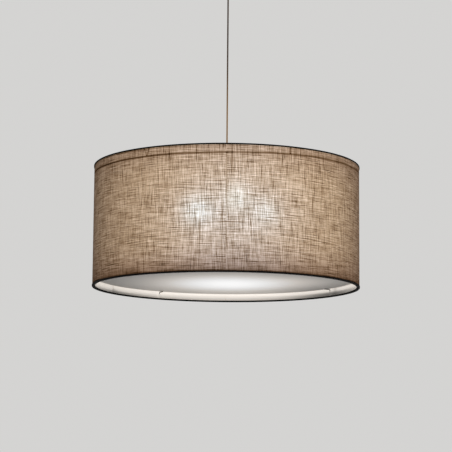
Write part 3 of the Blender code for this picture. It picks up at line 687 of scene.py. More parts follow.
def linen(name, lapped=False):
    """Natural linen, lit from within."""
    finish = Finish(name, "linen", Roughness=0.95, Specular_IOR_Level=0)
    x, y, height = finish.where()
    azimuth = azimuth_of(x, y)
    threads, relief = weave(finish, round_the_drum(x, y), height)
    # Painted shadows and shade of the frame and the bottom edge, with the thick threads; they darken
    # the linen's colour as well as its glow.
    marks = painted_shadows_and_threads(azimuth, height)
    cloth = threads * (marks * 0.93 if lapped else marks)
    through = [cloth.of("POWER", power) for power in (0.86, 1.02, 1.24)]  # thick threads are browner
    finish.wear(Base_Color=finish.dyed((0.312, 0.19, 0.124), *through))
    finish.glow(finish.dyed(lamp_light(finish, azimuth, height), *through))
    finish.relief(relief, 0.0003, 0.6)
    return finish


def painted_low_edge_shade(azimuth, height):
    """Painted shade inside the lower edge, most of it at the far right."""
    right = azimuth.near(125, 22) * height.falls(-0.7295, -0.7225) * 0.72
    return right + azimuth.near(-122, 20) * height.falls(-0.732, -0.7265) * 0.48


def hook_wire():
    """White lacquered wire, dark on the bend that grips the disc, with painted shade at the low edge
    and a painted glow of the lamps' light.
    """
    finish = Finish("hook_wire", "bright_steel", Specular_IOR_Level=0.4)
    x, y, height = finish.where()
    tone_share = height.rises(-0.7265, -0.7235) + finish.cloud(0.002) * 0.15
    unshaded = 1 - painted_low_edge_shade(azimuth_of(x, y), height)
    wire_colour = finish.between(FILM_WHITE, (0.045, 0.04, 0.036), tone_share.held())
    finish.wear(Base_Color=finish.times(wire_colour, unshaded), Roughness=0.4 + tone_share * 0.15)
    # Painted light: the lamps' glow on the white lacquer, less in the painted shade.
    finish.glow(finish.times((0.47, 0.44, 0.4), 1 - tone_share.held(), unshaded))
    return finish


def white_film():
    """The shade's white plastic lining, with the lamps' light on it."""
    finish = Finish("white_film", "white_liner", Roughness=0.55)
    x, y, height = finish.where()
    azimuth = azimuth_of(x, y)
    mottle = finish.cloud(0.012)
    back = azimuth.of("ABSOLUTE").near(180, 62)
    ends = azimuth.of("ABSOLUTE").near(100, 10)
    band = (back * 0.27 + ends * 0.05 + 0.42) * height.rises(-0.739, -0.722, 0.18, 1)
    above = height.rises(-0.7185, -0.7165)
    inside = height.near(-0.6, 0.11) * 0.2 + 0.08
    light = band * (1 - above) + inside * above
    # Thin dark marks about 120 degrees either side of the front, on the band under the disc.
    dark_marks = azimuth.near(-118.5, 0.9) * 0.2 + azimuth.near(121, 1.9) * 0.25
    low_dark_mark = azimuth.near(-120, 2.6) * height.falls(-0.7275, -0.7235) * 0.25
    shade = 0.97 + mottle * 0.06 - (dark_marks + low_dark_mark) * (1 - above)
    # Painted shade inside the lower edge darkens the film's colour and its glow.
    shade = shade * (1 - painted_low_edge_shade(azimuth, height))
    finish.wear(Base_Color=finish.times(FILM_WHITE, shade))
    finish.glow(finish.times((1, 0.925, 0.85), light, shade))
    finish.relief(finish.cloud(0.004, 1), 0.0001, 0.25)
    return finish


def black_tape():
    """Woven black binding, a little rubbed on its fold."""
    finish = Finish("black_tape", "black_trim", Specular_IOR_Level=0.06)
    x, y, height = finish.where()
    around = round_the_drum(x, y)
    ribs = around.wave(0.0009)
    threads = finish.noise(around / 0.004, height / 0.0004, 2)
    rubbed = finish.cloud(0.01).rises(0.58, 0.75)
    tone_share = ribs * 0.25 + threads * 0.5 + rubbed * 0.3
    finish.wear(
        Base_Color=finish.between((0.002, 0.0017, 0.0015), (0.008, 0.0065, 0.005), tone_share),
        Roughness=0.8 - rubbed * 0.15,
    )
    finish.relief(ribs * 0.5 + threads * 0.5, 0.00015, 0.7)
    return finish


def plain(name, slot, colours, stains, grain, gloss, bump, glow=0, **settings):
    """Two near colours in soft stains, and a fine grain in the roughness and the relief."""
    finish = Finish(name, slot, **settings)
    fine, broad = finish.cloud(*grain), finish.cloud(stains[0])
    share = broad.rises(*stains[1:]) if stains[1:] else broad
    finish.wear(Base_Color=finish.between(*colours, share), Roughness=gloss[0] + fine * gloss[1])
    # Painted light: a faint glow of the lamps' light on pieces inside the lit shade.
    if glow:
        finish.glow(finish.times((1, 0.93, 0.84), fine * 0.1 + glow))
    finish.relief(fine, *bump)
    return finish


def coated_steel(name, glow=0):
    """Half-matt white powder coat: fine orange peel, a touch of yellowing, and with glow a painted glow
    of the lamps' light.
    """
    colours, stains = ((0.7, 0.69, 0.66), (0.62, 0.6, 0.56)), (0.02, 0.45, 0.75)
    grain, gloss, bump = (0.0012, 1), (0.5, 0.16), (0.00012, 0.35)
    look = {"glow": glow, "Specular_IOR_Level": 0.25}
    return plain(name, "white_steel", colours, stains, grain, gloss, bump, **look)


def bright_steel():
    """Zinc plated steel with fine turning marks."""
    colours, stains = ((0.66, 0.66, 0.64), (0.48, 0.47, 0.44)), (0.006, 0.4, 0.7)
    grain, gloss, bump = (0.001, 3), (0.22, 0.22), (0.00005, 0.3)
    return plain("bright_steel", "bright_steel", colours, stains, grain, gloss, bump, Metallic=1)


def opal_disc():
    """The diffuser: white plastic with the lamps' light painted on as a glow, brightest in the middle,
    dim and a little warm near its rim.
    """
    finish = Finish("opal_disc", "opal_plastic", Roughness=0.42, Specular_IOR_Level=0.35)
    x, y, height = finish.where()
    grain = finish.cloud(0.003, 2)
    middle = x.near(0.007, 0.167) * y.near(0.073, 0.174)
    top = height.rises(DISC_BOTTOM + 0.001, DISC_BOTTOM + 0.0025)
    aside = x.near(0.175, 0.1) * y.near(0.01, 0.08) * 0.085
    aside = aside - x.near(0.19, 0.08) * y.near(0.19, 0.07) * 0.06
    light = (middle * 0.77 + aside) * (1 - top) + top * 0.22
    warmth = finish.between((1, 0.9, 0.8), (1, 1, 1), middle.rises(0.25, 0.85))
    finish.wear(Base_Color=finish.times((0.505, 0.5, 0.49), 0.98 + grain * 0.04))
    finish.glow(finish.times(warmth, light))
    finish.relief(grain, 0.00005, 0.2)
    return finish


def white_plastic():
    """Moulded plastic with a fine spark-eroded grain."""
    colours, stains = ((0.79, 0.78, 0.75), (0.71, 0.69, 0.65)), (0.015, 0.4, 0.75)
    grain, gloss, bump = (0.0007, 2), (0.34, 0.16), (0.00006, 0.4)
    return plain("white_plastic", "white_plastic", colours, stains, grain, gloss, bump)


def ceramic():
    """Glazed steatite with a few dark specks."""
    finish = Finish("ceramic", "ceramic", Coat_Weight=0.3, Coat_Roughness=0.12)
    speck = finish.cloud(0.001, 1).rises(0.7, 0.76)
    body = finish.cloud(0.005)
    stain = speck * 0.6 + body * 0.12
    finish.wear(
        Base_Color=finish.between((0.84, 0.82, 0.78), (0.45, 0.4, 0.34), stain),
        Roughness=0.28 + body * 0.15,
    )
    finish.relief(body, 0.0001, 0.2)
    return finish


def opal_glass():
    """A lit bulb: white glass, softer near its neck."""
    finish = Finish("opal_glass", "bulb_glass", Roughness=0.22, Coat_Weight=0.4, Coat_Roughness=0.08)
    mottle = finish.cloud(0.01)
    x, y, _ = finish.where()
    lit = (x * x + y * y).of("SQRT").rises(0.055, 0.095, 0.7, 1)
    finish.wear(Base_Color=finish.times((0.5, 0.5, 0.48), 0.97 + mottle * 0.05))
    finish.glow(finish.times((0.42, 0.395, 0.345), lit))
    return finish


def braid():
    """The cord's golden brown braid, lit from below where it nears the shade."""
    finish = Finish("braided_sleeve", "cord_sleeve", Roughness=0.85, Specular_IOR_Level=0.2)
    x, y, height = finish.where()
    turn = x.of("ARCTAN2", y)
    strand, climb = turn * 6, height * (2 * pi / 0.0042)
    over = (strand + climb).of("SINE").of("MAXIMUM", (strand - climb).of("SINE"))
    fibres = finish.noise(turn * 8, height / 0.0006, 4)
    lift = height.rises(-0.21, -0.36)
    share = over.rises(-0.2, 0.9) * 0.7 + fibres * 0.3
    finish.wear(Base_Color=finish.between((0.018, 0.012, 0.008), (0.1, 0.062, 0.036), share))
    finish.glow(finish.times((0.23, 0.13, 0.048), lift * (over * 0.4 + 0.6)))
    finish.relief(over + fibres * 0.4, 0.0003, 0.8)
    return finish


def insulation(name, slot, *colours):
    """A soft plastic lead."""
    return plain(name, slot, colours, (0.003,), (0.003,), (0.36, 0.2), (0.0001, 0.2))


FILM_WHITE = (0.66, 0.64, 0.6)
LINEN = linen("linen")
LAPPED_LINEN = linen("lapped_linen", lapped=True)
FILM = white_film()
HOOK = hook_wire()
TAPE = black_tape()
STEEL = coated_steel("coated_steel")
LIT_STEEL = coated_steel("lit_steel", glow=0.06)
ZINC = bright_steel()
DISC = opal_disc()
PLASTIC = white_plastic()
CERAMIC = ceramic()
GLASS = opal_glass()
BRAID = braid()
BROWN = insulation("brown_insulation", "brown_lead", (0.13, 0.06, 0.028), (0.21, 0.105, 0.05))
BLUE = insulation("blue_insulation", "blue_lead", (0.04, 0.13, 0.36), (0.07, 0.2, 0.48))


# ---- camera, lamps, floor


def make_camera():
    """A long lens a little below the shade, looking slightly up."""
    turn = [radians(angle) for angle in CAMERA_TURN]
    bpy.ops.object.camera_add(location=CAMERA_PLACE, rotation=turn)
    camera = named("camera")
    camera.data.lens = LENS
    camera.data.sensor_width = 36
    camera.data.clip_start, camera.data.clip_end = 0.05, 100
    bpy.context.scene.camera = camera


def sun(name, strength, azimuth):
    """A soft lamp far away, whose light comes from an azimuth."""
    bpy.ops.object.light_add(type="SUN", rotation=(radians(90 - LAMP_FALL), 0, radians(azimuth)))
    lamp = named(name)
    lamp.data.energy = strength
    lamp.data.angle = radians(LAMP_WIDTH)


def seen(tree):
    """1 where a camera ray, a reflection or a view through glass looks at the surroundings."""
    path = tree.nodes.new("ShaderNodeLightPath")
    total = path.outputs["Is Camera Ray"]
    for name in ("Is Glossy Ray", "Is Transmission Ray"):
        either = tree.nodes.new("ShaderNodeMath")
        either.operation = "MAXIMUM"
        tree.links.new(total, either.inputs[0])
        tree.links.new(path.outputs[name], either.inputs[1])
        total = either.outputs[0]
    return total


def make_studio():
    """Even light, one soft lamp in front and a weaker one behind, and a pale floor far below."""
    world = bpy.data.worlds.new("studio")
    bpy.context.scene.world = world
    world.use_nodes = True
    tree = world.node_tree
    even = tree.nodes["Background"]
    even.inputs["Color"].default_value = (0.32, 0.32, 0.32, 1)
    pale = tree.nodes.new("ShaderNodeBackground")
    pale.inputs["Color"].default_value = (0.66, 0.655, 0.645, 1)
    mixed = tree.nodes.new("ShaderNodeMixShader")
    tree.links.new(seen(tree), mixed.inputs[0])
    tree.links.new(even.outputs[0], mixed.inputs[1])
    tree.links.new(pale.outputs[0], mixed.inputs[2])
    tree.links.new(mixed.outputs[0], tree.nodes["World Output"].inputs["Surface"])
    sun("front_lamp", 2.3, 6)
    sun("back_lamp", 1.6, 180)

    bpy.ops.mesh.primitive_plane_add(size=60, location=(0, 0, FLOOR_Z))
    floor = named("floor")
    ground = bpy.data.materials.new("pale_floor")
    ground.use_nodes = True
    tree = ground.node_tree
    tint = tree.nodes.new("ShaderNodeMix")
    tint.data_type = "RGBA"
    tree.links.new(seen(tree), tint.inputs[0])
    tint.inputs[6].default_value = (0.12, 0.118, 0.115, 1)
    tint.inputs[7].default_value = (0.785, 0.78, 0.77, 1)
    surface = tree.nodes["Principled BSDF"]
    tree.links.new(tint.outputs[2], surface.inputs["Base Color"])
    surface.inputs["Roughness"].default_value = 0.9
    floor.data.materials.append(ground)


# ---- cord


def cord_line(low, high):
    """Points down a stretch of the cord, close together where it has to flex."""
    count = max(2, round((high - low) / 0.0008)) if high - low < 0.01 else 24
    return [(0, 0, high + (low - high) * step / count) for step in range(count + 1)]


def cord_stretch(name, low, high):
    return wire(name, cord_line(low, high), CORD_RADIUS, 3)


def make_cord():
    """The cord's clamped ends, its straight run, and the short stretches at the two grips, which are
    not hung on any body.
    """
    main = cord_stretch("cord", LOWER_EXIT, UPPER_EXIT)
    fit(main, BRAID, "cord", "suspension_cord")
    for name, low, high, above, below, nodes in (
        ("cord_flex_top_a", UPPER_PIVOT, UPPER_MOUTH, ROSE, "upper_bend", ["cord_bend_top"]),
        ("cord_flex_top_b", UPPER_EXIT, UPPER_PIVOT, "upper_bend", "cord", []),
        ("cord_flex_low_a", LOWER_PIVOT, LOWER_EXIT, "cord", "lower_bend", ["cord_bend_bottom"]),
        ("cord_flex_low_b", LOWER_MOUTH, LOWER_PIVOT, "lower_bend", "shade", []),
    ):
        flex = dressed(cord_stretch(name, low, high), BRAID, *nodes)
        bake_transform(flex)
    fit(cord_stretch("cord_end_top", UPPER_MOUTH, CORD_TOP), BRAID, ROSE, "cord_upper_end")
    fit(cord_stretch("cord_end_low", CORD_END, LOWER_MOUTH), BRAID, "shade", "cord_lower_end")


# ---- shade


def drum_skin(name, radius, hem=0):
    """A thin tube without ends, with rings of points on its way down."""
    top, bottom = SKIN_TOP - hem, SKIN_BOTTOM + hem
    bpy.ops.mesh.primitive_cylinder_add(
        vertices=DRUM_STEPS,
        radius=radius,
        depth=top - bottom,
        end_fill_type="NOTHING",
        location=(0, 0, (top + bottom) / 2),
    )
    skin = settled(named(name))
    with shaping(skin):
        for height in (DISC_BOTTOM, -0.66, -0.6, -0.54, FITTER_Z):
            sliced((0, 0, height), (0, 0, 1))
    return skin


def thickened(piece, wall):
    """Gives the tube its wall, inwards."""
    applied(piece, "SOLIDIFY", thickness=wall, offset=-1, use_even_offset=True)
    return smooth(piece)


def make_skins():
    """The linen, the lap of its seam in front, and the two halves of white film behind it."""
    cloth = thickened(drum_skin("linen_drum", SHADE_RADIUS), SKIN_WALL)
    fit(cloth, LINEN, "shade", "shade_fabric")
    lap = drum_skin("linen_lap", SHADE_RADIUS + LAP_LIFT, LAP_HEM)
    with shaping(lap):
        sliced((0, 0, 0), (-1, 0, 0), clear_outer=True)
        sliced((0, 0, 0), (cos(LAP_TURN), sin(LAP_TURN), 0), clear_outer=True)
    with shaping(lap) as shape:
        choose(lap, shape, lambda middle, normal: middle.y > 0)
        bpy.ops.mesh.delete(type="FACE")
    fit(thickened(lap, 0.00026), LAPPED_LINEN, "shade")
    for word, side in (("left", -1), ("right", 1)):
        half = drum_skin("film_" + word, LINER_RADIUS)
        with shaping(half):
            sliced((side * 0.00015, 0, 0), (-side, 0, 0), clear_outer=True)
        fit(thickened(half, SKIN_WALL), FILM, "shade", "shade_liner_" + word)


def make_bindings():
    """Black tape folded over both edges of the shade, round on its fold."""
    out = BINDING_OUT - BINDING_WALL
    back = BINDING_IN + BINDING_WALL
    for name, edge, way, node in (
        ("binding_top", SHADE_TOP, -1, "top_trim"),
        ("binding_bottom", SHADE_BOTTOM, 1, "bottom_trim"),
    ):
        far, fold = edge + way * BINDING_WIDTH, edge + way * BINDING_WALL
        outline = [(BINDING_OUT, edge), (BINDING_OUT, far), (out, far), (out, fold)]
        outline += [(back, fold), (back, far), (BINDING_IN, far), (BINDING_IN, edge)]
        outline = rounded(outline, 0.0009, closed=True)
        fit(turned(name, outline, DRUM_STEPS, closed=True, angle=50), TAPE, "shade", node)


def make_rings():
    """The two edge rings, and the recessed fitter ring with its welded struts."""
    fit(ring("edge_ring_top", EDGE_RING, EDGE_WIRE, TOP_RING_Z), STEEL, "shade", "top_ring")
    fit(ring("edge_ring_bottom", EDGE_RING, EDGE_WIRE, BOTTOM_RING_Z), STEEL, "shade", "bottom_ring")
    pieces = [ring("fitter_ring_wire", FITTER_RING, FITTER_WIRE, FITTER_Z)]
    for turn in range(3):
        for first in STRUT_AZIMUTHS:
            azimuth = first + 120 * turn
            low = outwards(FITTER_RING, azimuth, FITTER_Z)
            pieces.append(rod("strut", EDGE_WIRE, low, outwards(FITTER_RING, azimuth, TOP_RING_Z), 16))
            pieces.append(bead("weld", low, STRUT_WELD))
    for azimuth in ARM_AZIMUTHS.values():
        pieces.append(bead("weld", outwards(FITTER_RING - 0.0018, azimuth, FITTER_Z), ARM_WELD))
    fit(joined("fitter_ring_with_struts", pieces), LIT_STEEL, "shade", "fitter_ring")


def hex_nut(name, low):
    """A six-sided nut with a chamfered, threaded bore."""
    high = low + NUT_HEIGHT
    nut = rod(name, NUT_RADIUS, (0, 0, low), (0, 0, high), 6)
    with shaping(nut):
        bpy.ops.mesh.bevel(offset=0.00035, segments=2, affect="EDGES")
    bore = [(0, low - PAST), (THREAD_HOLE, low - PAST), (THREAD_HOLE, high + PAST), (0, high + PAST)]
    over, edge = high + PAST, high - 0.0007
    chamfer = [(0, over), (0.0072, over), (THREAD_HOLE, edge), (0, edge)]
    cut(nut, turned("bore", bore, SMALL_STEPS), turned("chamfer", chamfer, SMALL_STEPS))
    return smooth(nut, 30)


def make_spider():
    """Hub, its nuts, and three wire arms, each with a weld at the hub."""
    low, high = FITTER_Z - HUB_HEIGHT / 2, FITTER_Z + HUB_HEIGHT / 2
    dish = 0.0006
    face = [(HUB_RADIUS, low), (HUB_RADIUS, high), (0.012, high), (0.0112, high - dish)]
    face += [(THREAD_HOLE, high - dish), (THREAD_HOLE, low + dish), (0.0112, low + dish), (0.012, low)]
    hub = turned("spider_hub_disc", rounded(face, 0.0007, closed=True), closed=True)
    fit(hub, LIT_STEEL, "shade", "spider_hub")
    top = hex_nut("hub_nut_high", high + NUT_GAP)
    fit(top, ZINC, "shade", "hub_nut_top")
    drop = Matrix.Translation((0, 0, -HUB_HEIGHT - NUT_HEIGHT - 2 * NUT_GAP))
    fit(copied(top, "hub_nut_low", drop), ZINC, "shade", "hub_nut_bottom")
    reach = FITTER_RING - FITTER_WIRE - 0.0003
    line = [(0, -far, FITTER_Z) for far in (HUB_RADIUS - 0.0005, 0.03, 0.286, reach)]
    weld = bead("weld", (0, -HUB_RADIUS, FITTER_Z), HUB_WELD)
    arm = joined("arm", [wire("arm", line, FITTER_WIRE), weld])
    set_out(arm, LIT_STEEL, [
        ("frame_arm_" + word, about(azimuth), "shade", "spider_arm_" + word)
        for word, azimuth in ARM_AZIMUTHS.items()
    ])


def make_threaded_tube():
    """Threaded from end to end, with a smooth bore."""
    low, high, pitch, depth = -0.4982, -0.4654, 0.001, 0.0003
    outline = [(TUBE_BORE, high), (TUBE_BORE, low)]
    for count in range(int((high - low) / pitch)):
        root = low + count * pitch
        outline += [(TUBE_RADIUS - depth, root), (TUBE_RADIUS, low + (count + 0.5) * pitch)]
    outline.append((TUBE_RADIUS - depth, high))
    tube = turned("thread_tube", outline, SMALL_STEPS, closed=True)
    fit(tube, LIT_STEEL, "shade", "threaded_tube")


def make_diffuser():
    """The opal disc with its softly rounded rim."""
    top, half = DISC_BOTTOM + DISC_WALL, DISC_RADIUS * 0.5
    outline = [(0, top), (half, top), (DISC_RADIUS, top)]
    outline += [(DISC_RADIUS, DISC_BOTTOM), (half, DISC_BOTTOM), (0, DISC_BOTTOM)]
    disc = turned("diffuser_disc_opal", rounded(outline, DISC_ROUND, 5), DRUM_STEPS)
    fit(disc, DISC, "diffuser_disc", "diffuser")


def make_hooks():
    """Bent wire hooks that stand on the bottom ring, their ends rounded off."""
    finger = DISC_BOTTOM - 0.0003 - HOOK_WIRE
    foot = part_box("diffuser_hook_1")[0].z + HOOK_WIRE
    stand = DISC_RADIUS + 0.003
    corners = [(0, -DISC_RADIUS + 0.012, finger), (0, -stand, finger)]
    corners += [(0, -stand, foot), (0, -EDGE_RING, foot)]
    hook = wire("hook", rounded(corners, 0.0026, 6), HOOK_WIRE)
    hook = joined("hook", [hook, bead("tip", corners[0], (HOOK_WIRE,) * 3)])
    set_out(hook, HOOK, [
        (f"disc_hook_{count}", about(azimuth), "shade", f"diffuser_hook_{count}")
        for count, azimuth in enumerate(HOOK_AZIMUTHS, 1)
    ])


# ---- ceiling rose and grips


def slotted_screw(name, head, height, shank, length, steps=SMALL_STEPS):
    """A screw along Z: the domed head stands on 0, and the shank hangs below it."""
    dome = [(0, height), (head * 0.55, height * 0.97), (head * 0.85, height * 0.8)]
    dome += [(head, height * 0.45), (head, 0)]
    body = [(shank, 0), (shank, -length + 0.0005), (shank - 0.0004, -length), (0, -length)]
    screw = turned(name, rounded(dome + body, 0.0003), steps)
    reach, deep, wide = head * 1.2, height * 0.45, head * 0.14
    slot = block("slot", (-reach, -wide, height - deep), (reach, wide, height * 1.5))
    return smooth(cut(screw, slot))


def facing(x, y, z, turn):
    """A place with Z turned towards +X or -X."""
    return Matrix.Translation((x, y, z)) @ Matrix.Rotation(radians(turn), 4, "Y")


def fluted(piece, radius, low, high, depth):
    """Presses flutes into the side between two heights: each second face is inset and pushed in."""

    def side(middle, normal):
        if not (low < middle.z < high and abs(normal.z) < 0.3 and middle.xy.length > radius * 0.97):
            return False
        turn = degrees(middle.xy.angle_signed(Vector((1, 0))) % 360) / 360
        return round(turn * ROUND_STEPS - 0.5) % 2 == 0

    with shaping(piece) as shape:
        choose(piece, shape, side)
        bpy.ops.mesh.inset(thickness=depth * 0.5, use_individual=True)
        bpy.ops.transform.shrink_fatten(value=-depth)
    return smooth(piece, 25)


def cord_grip(name, seat, way):
    """A clamping grip: a fluted flange on its seat, and a cone along the cord to its mouth."""
    mouth, far = seat + way * 0.0175, seat - way * 0.011
    if way < 0:  # the upper grip has a stem that goes up through the canopy
        flange = seat + way * 0.0032
        stem, bore_end = [(TUBE_RADIUS, far), (TUBE_RADIUS, seat)], [(0.002, far)]
    else:  # the lower grip has a socket for the threaded tube
        flange = seat + 0.008
        stem, bore_end = [(THREAD_HOLE, seat)], [(0.002, flange), (THREAD_HOLE, flange)]
    side = [(0.009, seat), (0.009, flange), (0.0082, flange + way * 0.0006), (0.0062, mouth)]
    bore = [(0.003, mouth), (0.002, mouth - way * 0.002)]
    outline = rounded(stem + side + bore + bore_end, 0.0005, closed=True)
    grip = turned(name, outline, closed=True)
    return fluted(grip, 0.009, min(seat, flange), max(seat, flange), 0.0004)


def make_grips():
    """The grip under the canopy and the one that the shade hangs from, each with its clamping screw."""
    fit(cord_grip("grip_upper", UPPER_SEAT, -1), PLASTIC, ROSE, "canopy_cord_grip")
    fit(cord_grip("grip_lower", LOWER_SEAT, 1), PLASTIC, "shade", "lamp_cord_grip")
    rows = []
    for name, node, body in (
        ("grip_screw_upper", "canopy_grip_screw", ROSE),
        ("grip_screw_lower", "lamp_grip_screw", "shade"),
    ):
        low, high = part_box(node)
        rows.append((name, facing(0.0093, 0, (low.z + high.z) / 2, 90), body, node))
    set_out(slotted_screw("grip_screw", 0.0026, 0.002, 0.0016, 0.007), ZINC, rows)


def make_canopy():
    """The shallow cup on the ceiling, its edge rolled, and the two knurled side screws."""
    outline = [(ROSE_RADIUS, ROSE_TOP), (ROSE_RADIUS, ROSE_TOP - 0.004)]
    outline += arc((ROSE_RADIUS - 0.005, ROSE_FLOOR + 0.005), 0.005, 0, -90, 10)
    outline += [(0.012, ROSE_FLOOR), (0.0112, ROSE_FLOOR + 0.0004), (THREAD_HOLE, ROSE_FLOOR + 0.0004)]
    cup = turned("rose_cup", walled(outline[::-1], ROSE_WALL), 128, closed=True)
    holes = []
    for side in (-1, 1):
        start, end = ((side * out, 0, SIDE_SCREW_Z) for out in (0.04, 0.06))
        holes.append(rod("hole", SIDE_SCREW_HOLE, start, end))
    fit(smooth(cut(cup, *holes)), STEEL, ROSE, "canopy")
    screw = slotted_screw("side_screw", 0.0038, 0.004, 0.0015, 0.0065, ROUND_STEPS)
    fluted(screw, 0.0038, 0, 0.0018, 0.0002)
    rows = []
    for word, side in (("left", -1), ("right", 1)):
        place = facing(side * (ROSE_RADIUS + 0.0003), 0, SIDE_SCREW_Z, side * 90)
        rows.append(("rose_screw_" + word, place, ROSE, "canopy_screw_" + word))
    set_out(screw, ZINC, rows)


def make_bracket():
    """The strap on the ceiling: one folded plate with two ears and its fixing holes."""
    low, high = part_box("ceiling_bracket")
    ear = high.x - STRAP_WALL
    strap = block("strap", (low.x, low.y, -STRAP_WALL), high)
    with shaping(strap) as shape:
        for side in (-1, 1):
            sliced((side * ear, 0, 0), (1, 0, 0))
        choose(strap, shape, lambda middle, normal: normal.z < -0.5 and abs(middle.x) > ear)
        bpy.ops.mesh.extrude_region_move(TRANSFORM_OT_translate={"value": (0, 0, low.z + STRAP_WALL)})
    applied(strap, "BEVEL", width=0.0004, segments=3, limit_method="ANGLE", angle_limit=radians(40))
    tools = []
    for x in (-CEILING_HOLE_X, CEILING_HOLE_X):
        tools.append(rod("hole", CEILING_HOLE, (x, 0, -0.01), (x, 0, 0.01)))
    tools.append(rod("hole", SIDE_SCREW_HOLE, (-0.06, 0, SIDE_SCREW_Z), (0.06, 0, SIDE_SCREW_Z)))
    fit(smooth(cut(strap, *tools)), STEEL, ROSE, "ceiling_bracket")


def make_terminals():
    """The joint block, its screws and the cord's two leads."""
    low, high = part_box("terminal_block")
    body = block("joint_block", low, high, 0.001)
    middle, level, under = (low.x + high.x) / 2, (low.z + high.z) / 2, low.z - PAST
    tools = [block("groove", (low.x - PAST, -0.0008, under), (high.x + PAST, 0.0008, low.z + 0.0025))]
    for y in (-TERMINAL_Y, TERMINAL_Y):
        tools.append(rod("well", 0.0024, (middle, y, under), (middle, y, low.z + 0.0052)))
        tools.append(rod("entry", 0.0014, (low.x - PAST, y, level), (low.x + 0.006, y, level)))
    fit(smooth(cut(body, *tools)), PLASTIC, ROSE, "terminal_block")
    screw = slotted_screw("terminal_screw", 0.0018, 0.0012, 0.0016, 0.0044)
    start, entry = -0.0155, low.x - 0.0003
    for word, side, finish in (("live", -1, BROWN), ("neutral", 1, BLUE)):
        near, y = side * 0.0011, side * TERMINAL_Y
        place = Matrix.Translation((middle, y, low.z + 0.0006)) @ Matrix.Rotation(pi, 4, "X")
        fit(copied(screw, "joint_screw_" + word, place), ZINC, ROSE, "terminal_screw_" + word)
        route = [(0, near, start), (0, near, start + 0.0022)]
        route += [(entry / 2, (near + y) / 2, level), (entry + 0.004, y, level)]
        lead = wire("joint_lead_" + word, eased(route, 24), 0.0009)
        fit(lead, finish, ROSE, "supply_lead_" + word)
    bpy.data.objects.remove(screw)
    nut = hex_nut("rose_nut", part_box("canopy_lock_nut")[0].z)
    fit(nut, ZINC, ROSE, "canopy_lock_nut")


# ---- lamps


def make_cup():
    """The cup that carries the three lamps, and its snap-in cover."""
    outline = [(THREAD_HOLE, CUP_TOP), *arc((CUP_RADIUS - 0.004, CUP_TOP - 0.004), 0.004, 90, 0, 10)]
    outline = walled([(CUP_RADIUS, CUP_BOTTOM), *outline[::-1]], ROSE_WALL)
    fit(turned("lamp_cup", outline, 96, closed=True), LIT_STEEL, "shade", "cluster_cup")
    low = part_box("cluster_cover")[0].z
    rim, floor, lip = CUP_RADIUS - 0.0015, low + 0.0012, CUP_BOTTOM + 0.004
    lid = [(rim, lip), (rim, floor), (CUP_RADIUS, floor), (CUP_RADIUS, low), (0.006, low)]
    lid += [(0.005, low + 0.0004), (0, low + 0.0004), (0, CUP_BOTTOM)]
    lid += [(rim - 0.001, CUP_BOTTOM), (rim - 0.001, lip)]
    cover = turned("lamp_cup_lid", rounded(lid, 0.0005), 96, closed=True)
    fit(cover, LIT_STEEL, "shade", "cluster_cover")
    repaint("wire_connector", PLASTIC)
    for number in (1, 2, 3):
        repaint(f"lamp_lead_{number}", BROWN)


def holder_outline():
    """The outside of a holder's shell: round back, ribbed collar, plain skirt and rolled mouth."""
    skirt = HOLDER_RADIUS - 0.0006
    outline = [(THREAD_HOLE, HOLDER_FLOOR), (0.01, HOLDER_FLOOR)]
    outline += arc((HOLDER_RADIUS - 0.004, HOLDER_FLOOR + 0.004), 0.004, -90, 0, 8)
    outline += [(HOLDER_RADIUS, COLLAR_START), (HOLDER_RADIUS, COLLAR_END)]
    outline += [(skirt, HOLDER_MOUTH - 0.0155), (skirt, HOLDER_MOUTH - 0.002)]
    return outline + [(HOLDER_RADIUS, HOLDER_MOUTH - 0.0014), (HOLDER_RADIUS, HOLDER_MOUTH)]


def bulb_outline():
    """The globe and its neck, as one line from the top of the globe to the cap."""
    neck = CAP_TOP + 0.0003
    join = degrees(acos((BULB_NECK + 0.0009) / BULB_RADIUS))
    globe = arc((0, BULB_MIDDLE), BULB_RADIUS, 90, -join, 30)
    globe[0] = (0, BULB_MIDDLE + BULB_RADIUS)
    globe += [(BULB_NECK + 0.0001, neck + 0.0042), (BULB_NECK, neck + 0.0012)]
    return globe + [(BULB_NECK - 0.0004, neck)]


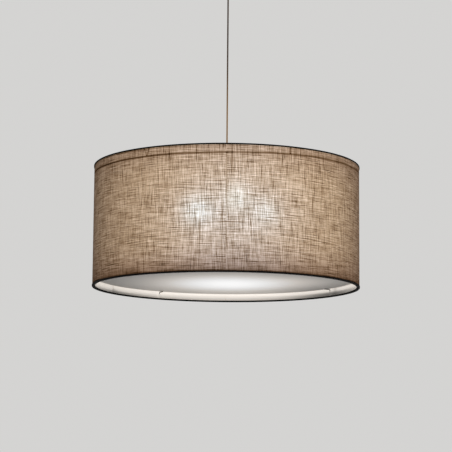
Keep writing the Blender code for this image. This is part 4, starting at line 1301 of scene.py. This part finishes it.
def cap_outline():
    """The screw cap: collar, four round threads, insulator and contact."""
    start, root = CAP_TOP - 0.003, CAP_RADIUS - 0.0009
    pitch = (start - (CAP_TIP + 0.0035)) / 4
    outline = [(0, CAP_TOP), (root, CAP_TOP)]
    for step in range(33):
        outline.append((root + 0.00045 * (1 - cos(2 * pi * step / 8)), start - step * pitch / 8))
    outline += [(0.007, CAP_TIP + 0.002), (0.005, CAP_TIP + 0.0005)]
    return outline + [(0.0046, CAP_TIP), (0, CAP_TIP)]


def make_lamps():
    """Arm tube, holder, core and bulb, made once along Z and set on the three arms of the cup."""
    socket, step = CAP_RADIUS + 0.0003, CORE_FLOOR + 0.0012
    core = [(CORE_RADIUS, CORE_FRONT), (CORE_RADIUS, CORE_BACK), (0, CORE_BACK), (0, step)]
    core += [(0.003, step), (0.003, CORE_FLOOR), (socket, CORE_FLOOR), (socket, CORE_FRONT)]
    tube = [(TUBE_RADIUS, ARM_END), (TUBE_RADIUS, ARM_START)]
    tube += [(TUBE_BORE, ARM_START), (TUBE_BORE, ARM_END)]
    tube = turned("tube", rounded(tube, 0.0003, closed=True), SMALL_STEPS, closed=True)
    holder = turned("holder", walled(holder_outline(), HOLDER_WALL), closed=True)
    fluted(holder, HOLDER_RADIUS, COLLAR_START, COLLAR_END, 0.0005)
    core = turned("core", rounded(core, 0.0004), closed=True)
    bulb = turned("bulb", bulb_outline())
    thread = turned("bulb_thread", cap_outline())
    for piece, finish, node in (
        (tube, LIT_STEEL, "arm_tube_"),
        (holder, PLASTIC, "lampholder_shell_"),
        (core, CERAMIC, "lampholder_core_"),
        (bulb, GLASS, "bulb_globe_"),
        (thread, ZINC, "bulb_cap_"),
    ):
        rows = []
        for number in (1, 2, 3):
            body = f"bulb_{number}" if piece in (bulb, thread) else "shade"
            rows.append((f"lamp_{piece.name}_{number}", lamp_place(number), body, f"{node}{number}"))
        set_out(piece, finish, rows)


# ---- all together

bpy.context.scene.view_settings.view_transform = "Standard"
bpy.ops.object.select_all(action="DESELECT")
make_camera()
make_studio()
make_cord()
for make in (make_skins, make_bindings, make_rings, make_spider, make_threaded_tube):
    make()
for make in (make_diffuser, make_hooks, make_grips, make_canopy, make_bracket, make_terminals):
    make()
make_cup()
make_lamps()
